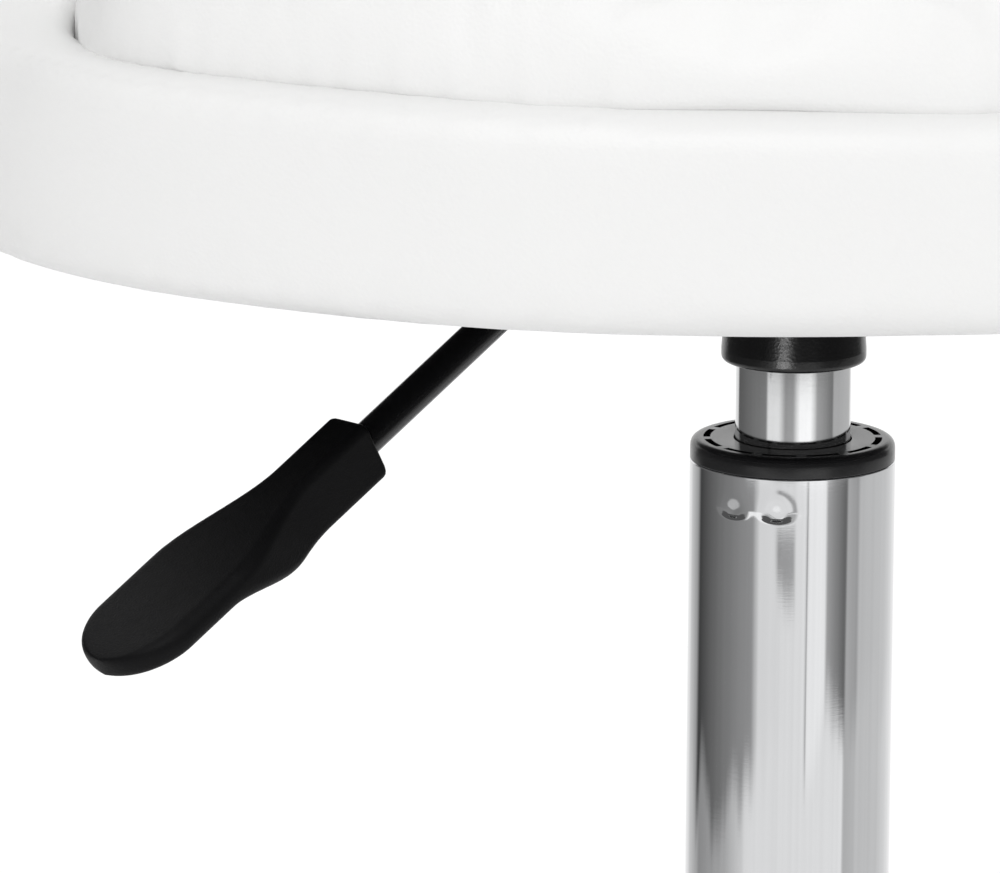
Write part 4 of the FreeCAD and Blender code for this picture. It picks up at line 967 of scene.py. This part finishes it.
def wheelMesh():
    w = wheel
    rim, dish = w["radius"] - w["rim"], w["width"] - w["dish"]
    tyre = turnedMesh("wheelTyre", [
        (w["bore"], 0, 0.0003), (w["radius"] - w["edge"], 0, 0.001), (w["radius"], w["edge"], 0.0016),
        (w["radius"], w["width"] - w["edge"], 0.0016), (w["radius"] - w["edge"], w["width"], 0.001),
        (rim, w["width"], 0.0008), (rim - w["dish"], dish, 0.0008), (w["boss"] + w["dish"], dish, 0.0008),
        (w["boss"], w["width"], 0.0008), (w["bore"], w["width"], 0.0004)], 112, 5)
    rib = boxParts((w["boss"] + w["ribGap"], -w["ribWidth"], dish - w["ribSink"]),
                   (rim - w["ribGap"], w["ribWidth"], dish + w["ribHeight"]))
    piece = addObject("wheelRibs", joinedMesh("wheelRibs", [rib]))
    runTree(piece, "ribsRound", {"Copies": w["ribs"], "First turn": 0.0}, "wheel_nylon", repeatRound)
    shape = bmesh.new()
    shape.from_mesh(piece.data)
    bmesh.ops.bevel(shape, geom=shape.edges[:], offset=w["ribRound"], segments=2, profile=0.5, affect="EDGES")
    shape.from_mesh(tyre)
    bpy.data.objects.remove(piece)
    return keepShape(shape, bpy.data.meshes.new("castorWheel"))


def fenderParts():
    # curved shade over both wheels, with rounded edges
    c, edge, steps = castor, castor["edge"], castor["arcSteps"]
    inner = wheel["radius"] + c["gap"]
    outer = inner + c["wall"]
    half = c["web"] / 2 + 2 * wheel["gap"] + wheel["width"]
    rows = []
    for k in range(steps + 1):
        a = math.pi - math.radians(c["arc"]) * k / steps
        bend = edge - (edge * c["endDraw"] if k in (0, steps) else 0.0)
        row = []
        for corner, (cx, cy) in enumerate(((1, 1), (-1, 1), (-1, -1), (1, -1))):
            for t in quarterArc(c["edgeSteps"]):
                turn = corner * math.pi / 2 + t
                reach = (outer - edge if cx > 0 else inner + edge) + bend * math.cos(turn)
                across = cy * (half - edge) + bend * math.sin(turn)
                row.append((c["trail"] + reach * math.cos(a), across, wheel["radius"] + reach * math.sin(a)))
        rows.append(row)
    return tubeParts(rows)


def webParts():
    c, m, trail, top, axis = castor, castor["margin"], castor["trail"], castor["top"], wheel["radius"]
    line = [(-m, c["webFoot"]), (trail - m, axis - m), (trail + m, axis - m), (trail + m, axis + m),
            (m, top - c["collarDrop"]), (m, top - c["webDrop"]), (-m, top - c["webDrop"])]
    profile = roundedProfile([(x, z, c["webRound"]) for x, z in line], 5)
    middle = sum(profile, Vector((0, 0))) / len(profile)
    rows = []
    for across, size in ((-1, c["webShrink"]), (-c["webFlat"], 1.0), (c["webFlat"], 1.0), (1, c["webShrink"])):
        rows.append([(middle.x + (p.x - middle.x) * size, across * c["web"] / 2,
                      middle.y + (p.y - middle.y) * size) for p in profile])
    return tubeParts(rows)


def hoodMesh():
    c = castor
    foot = c["top"] - c["collarDrop"]
    ring = turnedParts([(c["bore"], foot, 0), (c["collar"], foot, 0.0004), (c["collar"], c["top"], 0.0008),
                        (c["bore"], c["top"], 0.0004)], 72)
    return joinedMesh("castorHood", [fenderParts(), webParts(), ring])


def makeCastors():
    s, a = stem, axle
    hood, tyre = hoodMesh(), wheelMesh()
    peg = turnedMesh("castorStem", [
        (0, s["bottom"], 0), (s["radius"], s["bottom"], 0.0008), (s["radius"], s["flangeBottom"], 0),
        (s["flange"], s["flangeBottom"], 0.0005), (s["flange"], s["flangeTop"], 0.0005),
        (s["radius"], s["flangeTop"], 0), (s["radius"], s["top"], 0.0008), (0, s["top"], 0)], 64)
    rod = turnedMesh("castorAxle", [(0, -a["half"], 0), (a["radius"], -a["half"], 0.0006),
                                    (a["radius"], a["half"], 0.0006), (0, a["half"], 0)], 48)
    face = castor["web"] / 2 + wheel["gap"]
    for k in range(leg["count"]):
        outward = Matrix.Rotation(math.radians(leg["first"] + 360 * k / leg["count"]), 4, "Z")
        swing = Matrix.Rotation(math.radians(castor["turn"] * (k - leg["count"] // 2)), 4, "Z")
        stand = outward @ Matrix.Translation((leg["tip"], 0, 0)) @ swing
        hubPlace = stand @ Matrix.Translation((castor["trail"], 0, wheel["radius"]))
        onSide = Matrix.Rotation(math.radians(-90), 4, "X")
        rows = [("castorHood", hood, stand, "caster_hood_", "caster_nylon"),
                ("castorStem", peg, stand, "caster_stem_", "zinc_steel"),
                ("castorAxle", rod, hubPlace @ onSide, "caster_axle_", "zinc_steel")]
        for side, sign in (("left", 1), ("right", -1)):
            flip = Matrix.Translation((0, sign * face, 0)) @ Matrix.Rotation(math.radians(-90 * sign), 4, "X")
            rows.append(("castorWheel" + side.title(), tyre, hubPlace @ flip, "caster_wheel_" + side + "_",
                         "wheel_nylon"))
        for name, mesh, place, node, slotName in rows:
            node += str(k + 1)
            piece = movedCopy(name + str(k + 1), mesh, place)
            finishPiece(piece, bodyOf[node], [node], slotName)


makeCastors()
print("castors made")


# Under the seat: bracket, plate, bolts and the staples that hold the dust cover

under = dict(spacing=0.125, azimuth=225.0, headBottom=0.3877, washer=0.3913, top=0.4103, head=0.0055, shank=0.003,
             socket=0.0024, socketDepth=0.0022, staples=46, stapleInset=0.0225, stapleLength=0.0105,
             stapleWire=0.0011, stapleSink=0.3, cover=0.3955)


def setBolts(tree, inputs):
    # a hexagon socket in the head, then one bolt at each corner of the plate's pattern
    key = addNode(tree, "GeometryNodeMeshCylinder", {
        "Vertices": 6, "Radius": inputs["Socket size"],
        "Depth": mathNode(tree, "MULTIPLY", inputs["Socket depth"], 2.0)})
    lower = addNode(tree, "ShaderNodeCombineXYZ", {"Z": inputs["Head bottom"]})
    placed = addNode(tree, "GeometryNodeTransform", {
        "Geometry": key.outputs["Mesh"], "Translation": lower.outputs[0]})
    bolt = cutAway(tree, inputs["Geometry"], placed.outputs[0])
    corners = addNode(tree, "GeometryNodeMeshGrid", {
        "Vertices X": 2, "Vertices Y": 2, "Size X": inputs["Spacing"], "Size Y": inputs["Spacing"]})
    turned = addNode(tree, "GeometryNodeTransform", {
        "Geometry": corners.outputs["Mesh"], "Rotation": inputs["Turn"]})
    return addNode(tree, "GeometryNodeInstanceOnPoints", {"Points": turned.outputs[0], "Instance": bolt}).outputs[0]


def layStaples(tree, inputs):
    line = addNode(tree, "GeometryNodeMeshToCurve", {"Mesh": inputs["Geometry"]})
    spots = addNode(tree, "GeometryNodeCurveToPoints", {
        "Curve": line.outputs[0], "Count": inputs["Staples"]}, mode="COUNT")
    wire = addNode(tree, "GeometryNodeMeshCylinder", {
        "Vertices": 12, "Radius": mathNode(tree, "MULTIPLY", inputs["Wire"], 0.5), "Depth": inputs["Length"]})
    copies = addNode(tree, "GeometryNodeInstanceOnPoints", {
        "Points": spots.outputs["Points"], "Rotation": spots.outputs["Rotation"], "Instance": wire.outputs["Mesh"]})
    return copies.outputs[0]


def makeUnderside():
    u = under
    for node, name, width, slotName in (
            ("mechanism_bracket", "mechanismBracket", 0.0005, "black_steel"),
            ("mechanism_plate", "mechanismPlate", 0.0005, "black_steel"),
            ("pivot_pin", "pivotPin", 0.0003, "zinc_steel"), ("bolt_washers", "boltWashers", 0.0002, "zinc_steel")):
        finishPiece(softCopy(node, name, width), bodyOf[node], [node], slotName)
    mesh = turnedMesh("plateBolts", [
        (0, u["headBottom"], 0), (u["head"], u["headBottom"], 0.0016), (u["head"], u["washer"], 0.0003),
        (u["shank"], u["washer"], 0), (u["shank"], u["top"], 0.0005), (0, u["top"], 0)], 64)
    piece = addObject("plateBolts", mesh)
    runTree(piece, "plateBolts", {
        "Spacing": u["spacing"], "Turn": (0.0, 0.0, math.radians(u["azimuth"])), "Socket size": u["socket"],
        "Socket depth": u["socketDepth"], "Head bottom": u["headBottom"]}, "zinc_steel", setBolts)
    finishPiece(piece, "carriage", ["plate_bolts"], "zinc_steel")
    path = lift(planRows(tub["outer"], -u["stapleInset"]), u["cover"] - u["stapleWire"] * u["stapleSink"])
    mesh = bpy.data.meshes.new("coverStaples")
    mesh.from_pydata([tuple(p) for p in path], [(k, (k + 1) % len(path)) for k in range(len(path))], [])
    piece = addObject("coverStaples", mesh)
    runTree(piece, "coverStaples", {
        "Staples": u["staples"], "Length": u["stapleLength"], "Wire": u["stapleWire"]}, "zinc_steel", layStaples)
    finishPiece(piece, "carriage", [], "zinc_steel")


makeUnderside()
print("underside made")


# Camera, studio and floor

view = dict(place=(0.0, -2.3404, 0.862), ahead=(-0.02959, 0.97465, -0.22179), roll=0.38, lens=355.97)
studio = dict(worldLevel=0.7, floorGlow=0.5, floorTone=0.6, bounce=0.96, floorHalf=30.0, aim=(0.0, 0.0, 0.4))


def makeCamera():
    ahead = Vector(view["ahead"]).normalized()
    right = ahead.cross(Vector((0, 0, 1))).normalized()
    up = right.cross(ahead)
    c, s = math.cos(math.radians(view["roll"])), math.sin(math.radians(view["roll"]))
    tilted = (right * c + up * s, up * c - right * s, -ahead)
    data = bpy.data.cameras.new("viewCamera")
    data.sensor_fit = "HORIZONTAL"
    data.sensor_width = 36.0
    data.lens = view["lens"]
    data.clip_end = 200.0
    camera = addObject("viewCamera", data)
    turn = Matrix([[axis[i] for axis in tilted] for i in range(3)]).to_4x4()
    camera.matrix_world = Matrix.Translation(Vector(view["place"])) @ turn
    scene.camera = camera


def seenRays(tree):
    path = addNode(tree, "ShaderNodeLightPath")
    seen = mathNode(tree, "MAXIMUM", path.outputs["Is Camera Ray"], path.outputs["Is Glossy Ray"])
    return mathNode(tree, "MAXIMUM", seen, path.outputs["Is Transmission Ray"])


def makeWorld():
    world = bpy.data.worlds.new("studioWorld")
    world.use_nodes = True
    scene.world = world
    tree = world.node_tree
    level = addNode(tree, "ShaderNodeMapRange", {
        "Value": seenRays(tree), "To Min": studio["worldLevel"], "To Max": 1.0})
    shader = tree.nodes["Background"]
    shader.inputs["Color"].default_value = (1, 1, 1, 1)
    feed(tree, shader.inputs["Strength"], level.outputs[0])


def stagePiece(piece, makeSurface):
    # a piece of the studio gets a finish of its own
    material, tree = newMaterial(piece.name)
    tree.nodes.clear()
    addNode(tree, "ShaderNodeOutputMaterial", {"Surface": makeSurface(tree)})
    piece.data.materials.append(material)


def floorSurface(tree):
    # the camera and reflections see a floor that glows a little; other rays meet a plain light one
    plain, lit = [addNode(tree, "ShaderNodeBsdfDiffuse", {"Color": (tone, tone, tone, 1)})
                  for tone in (studio["bounce"], studio["floorTone"])]
    glow = addNode(tree, "ShaderNodeEmission", {"Strength": studio["floorGlow"]})
    both = addNode(tree, "ShaderNodeAddShader", {0: lit.outputs[0], 1: glow.outputs[0]})
    mix = addNode(tree, "ShaderNodeMixShader", {0: seenRays(tree), 1: plain.outputs[0], 2: both.outputs[0]})
    return mix.outputs[0]


def makeFloor():
    size = studio["floorHalf"]
    corners = [(-size, -size, 0), (size, -size, 0), (size, size, 0), (-size, size, 0)]
    stagePiece(addObject("studioFloor", meshFrom("studioFloor", corners, [(0, 1, 2, 3)])), floorSurface)


# Studio cards round the stool that only reflections see. Each card runs from one angle to another, in degrees
# from the camera with left as minus, and has a brightness at each end. A row starts at a height on the wall.
cards = dict(radius=0.75, height=0.72, sides=180, wander=0.085, lean=0.025, ripple=0.01, tearSize=3.5,
             tearDetail=2.5, streak=0.16, streakSize=16.0, streakStretch=0.08)
footCards = [(-180, -148, 1.12, 0.85), (-144, -122, 0.7, 0.45), (-118, -75, 0.33, 0.48), (-70, -52, 0.55, 0.75),
             (-48, 62, 0.9, 0.95), (65, 78, 0.55, 0.6), (81, 118, 0.66, 0.68), (124, 180, 0.72, 1.12)]
sideCards = [(-180, -150, 1.12, 0.86), (-146, -128, 0.7, 0.4), (-122, -43, 0.06, 0.35), (-35, 16.6, 0.84, 0.95),
             (17.4, 19, 0.45, 0.45), (19.8, 38, 1.04, 1.06), (41, 63, 0.42, 0.15), (66, 79, 0.5, 0.42),
             (83, 128, 0.62, 0.68), (134, 180, 0.74, 1.12)]
headCards = [(-180, -142, 1.15, 0.9), (-136, -55, 0.13, 0.3), (-50, -28, 1.12, 1.12), (-15, 0, 0.46, 0.5),
             (14, 36, 1.5, 1.5), (49, 84, 0.55, 0.24), (88, 150, 0.58, 0.62), (155, 180, 0.95, 1.15)]
hangCards = [row for row in sideCards if row[0] != -35]
hangCards += [(-35, -19, 0.84, 0.86), (-14, 2, 0.36, 0.42), (6, 16.6, 0.9, 0.95)]
roofCards = [(-180, -138, 1.1, 1.0), (-130, 130, 0.1, 0.1), (138, 180, 1.0, 1.1)]
floorCards = [(-180, 0, 1.0, 1.0), (1, 180, 1.0, 1.0)]
# rows hold a height, the depth of the soft edge there, the cards, and whether that edge is torn
cardRows = [(0.008, 0.016, footCards, False), (0.066, 0.02, sideCards, True),
            (0.12, 0.012, sorted(hangCards), True), (0.141, 0.006, sideCards, False),
            (0.16, 0.006, headCards, False), (0.21, 0.01, roofCards, False)]


def roundTones(tree, share, row):
    # two ramps, because one ramp holds too few stops
    tones = [(degrees / 360 + 0.5, tone) for start, end, first, last in row
             for degrees, tone in ((start, first), (end, last))]
    half = len(tones) // 2
    ramps = []
    for stops in (tones[:half + 1], tones[half:]):
        node = addNode(tree, "ShaderNodeValToRGB", {0: share})
        elements = node.color_ramp.elements
        while len(elements) < len(stops):
            elements.new(0.5)
        for element, (position, tone) in zip(elements, stops):
            element.position = position
            element.color = (tone, tone, tone, 1)
        ramps.append(node.outputs[0])
    return mixNode(tree, mathNode(tree, "GREATER_THAN", share, tones[half][0]), *ramps)


def cardSurface(tree):
    place = addNode(tree, "ShaderNodeTexCoord").outputs["Object"]
    x, y, z = addNode(tree, "ShaderNodeSeparateXYZ", {0: place}).outputs
    angle = mathNode(tree, "ARCTAN2", x, mathNode(tree, "MULTIPLY", y, -1.0))
    turn = mathNode(tree, "ADD", mathNode(tree, "DIVIDE", angle, 2 * math.pi), 0.5)
    uneven = mathNode(tree, "SUBTRACT", noiseNode(tree, place, cards["tearSize"], cards["tearDetail"]), 0.5)
    share = mathNode(tree, "ADD", turn, mathNode(tree, "MULTIPLY", uneven, cards["ripple"]))
    wavy = mathNode(tree, "MULTIPLY", uneven, cards["wander"])
    leaning = mathNode(tree, "SUBTRACT", wavy, mathNode(tree, "MULTIPLY", x, cards["lean"]))
    torn = mathNode(tree, "ADD", z, leaning)
    stretch = addNode(tree, "ShaderNodeVectorMath", {0: place, 1: (1.0, 1.0, cards["streakStretch"])},
                      operation="MULTIPLY").outputs[0]
    streaks = mathNode(tree, "SUBTRACT", noiseNode(tree, stretch, cards["streakSize"], 3.0, 0.6), 0.5)
    streaky = mathNode(tree, "ADD", mathNode(tree, "MULTIPLY", streaks, cards["streak"]), 1.0)
    tone = roundTones(tree, share, floorCards)
    for bottom, soft, row, isTorn in cardRows:
        rise = mathNode(tree, "SUBTRACT", torn if isTorn else z, bottom)
        edge = mathNode(tree, "ADD", mathNode(tree, "DIVIDE", rise, soft), 0.5, clamp=True)
        tone = mixNode(tree, edge, tone, roundTones(tree, share, row))
    return addNode(tree, "ShaderNodeEmission", {"Color": tone, "Strength": streaky}).outputs[0]


def makeCards():
    count, radius = cards["sides"], cards["radius"]
    points = [(radius * math.cos(a), radius * math.sin(a), z) for z in (0.0, cards["height"]) for a in circle(count)]
    wall = addObject("studioCards", meshFrom("studioCards", points, gridFaces(2, count)))
    wall.visible_camera = wall.visible_diffuse = wall.visible_shadow = False
    wall.visible_transmission = wall.visible_volume_scatter = False
    stagePiece(wall, cardSurface)


# rows hold a name, a place, the two widths, the power, and the one piece that a lamp is kept for
lamps = [("keyLamp", (-0.45, -2.3, 2.4), (1.6, 1.6), 20.8, None),
         ("sideLamp", (2.0, -1.2, 1.6), (1.4, 1.4), 4.5, None),
         ("backLamp", (0.4, 2.2, 2.2), (1.6, 1.6), 14.0, None),
         ("lowLamp", (-0.2, -2.2, 0.2), (1.2, 1.2), 3.2, None),
         ("glintLamp", (-0.27, -1.0, 0.14), (0.24, 0.1), 5.0, "taperSocket")]


def makeLamps():
    for name, place, size, power, only in lamps:
        data = bpy.data.lights.new(name, "AREA")
        data.shape = "ELLIPSE"
        data.size, data.size_y = size
        data.energy = power
        lamp = addObject(name, data)
        lamp.location = place
        lamp.visible_camera = False
        if only:
            # the soft highlight on the collar
            seen = bpy.data.collections.new(name + "Seen")
            seen.objects.link(bpy.data.objects[only])
            lamp.light_linking.receiver_collection = seen
            lamp.visible_diffuse = False
        aim = Vector(studio["aim"]) - Vector(place)
        lamp.rotation_euler = aim.to_track_quat("-Z", "Y").to_euler()

makeCamera()
makeWorld()
makeFloor()
makeCards()
makeLamps()
print("camera and studio set")
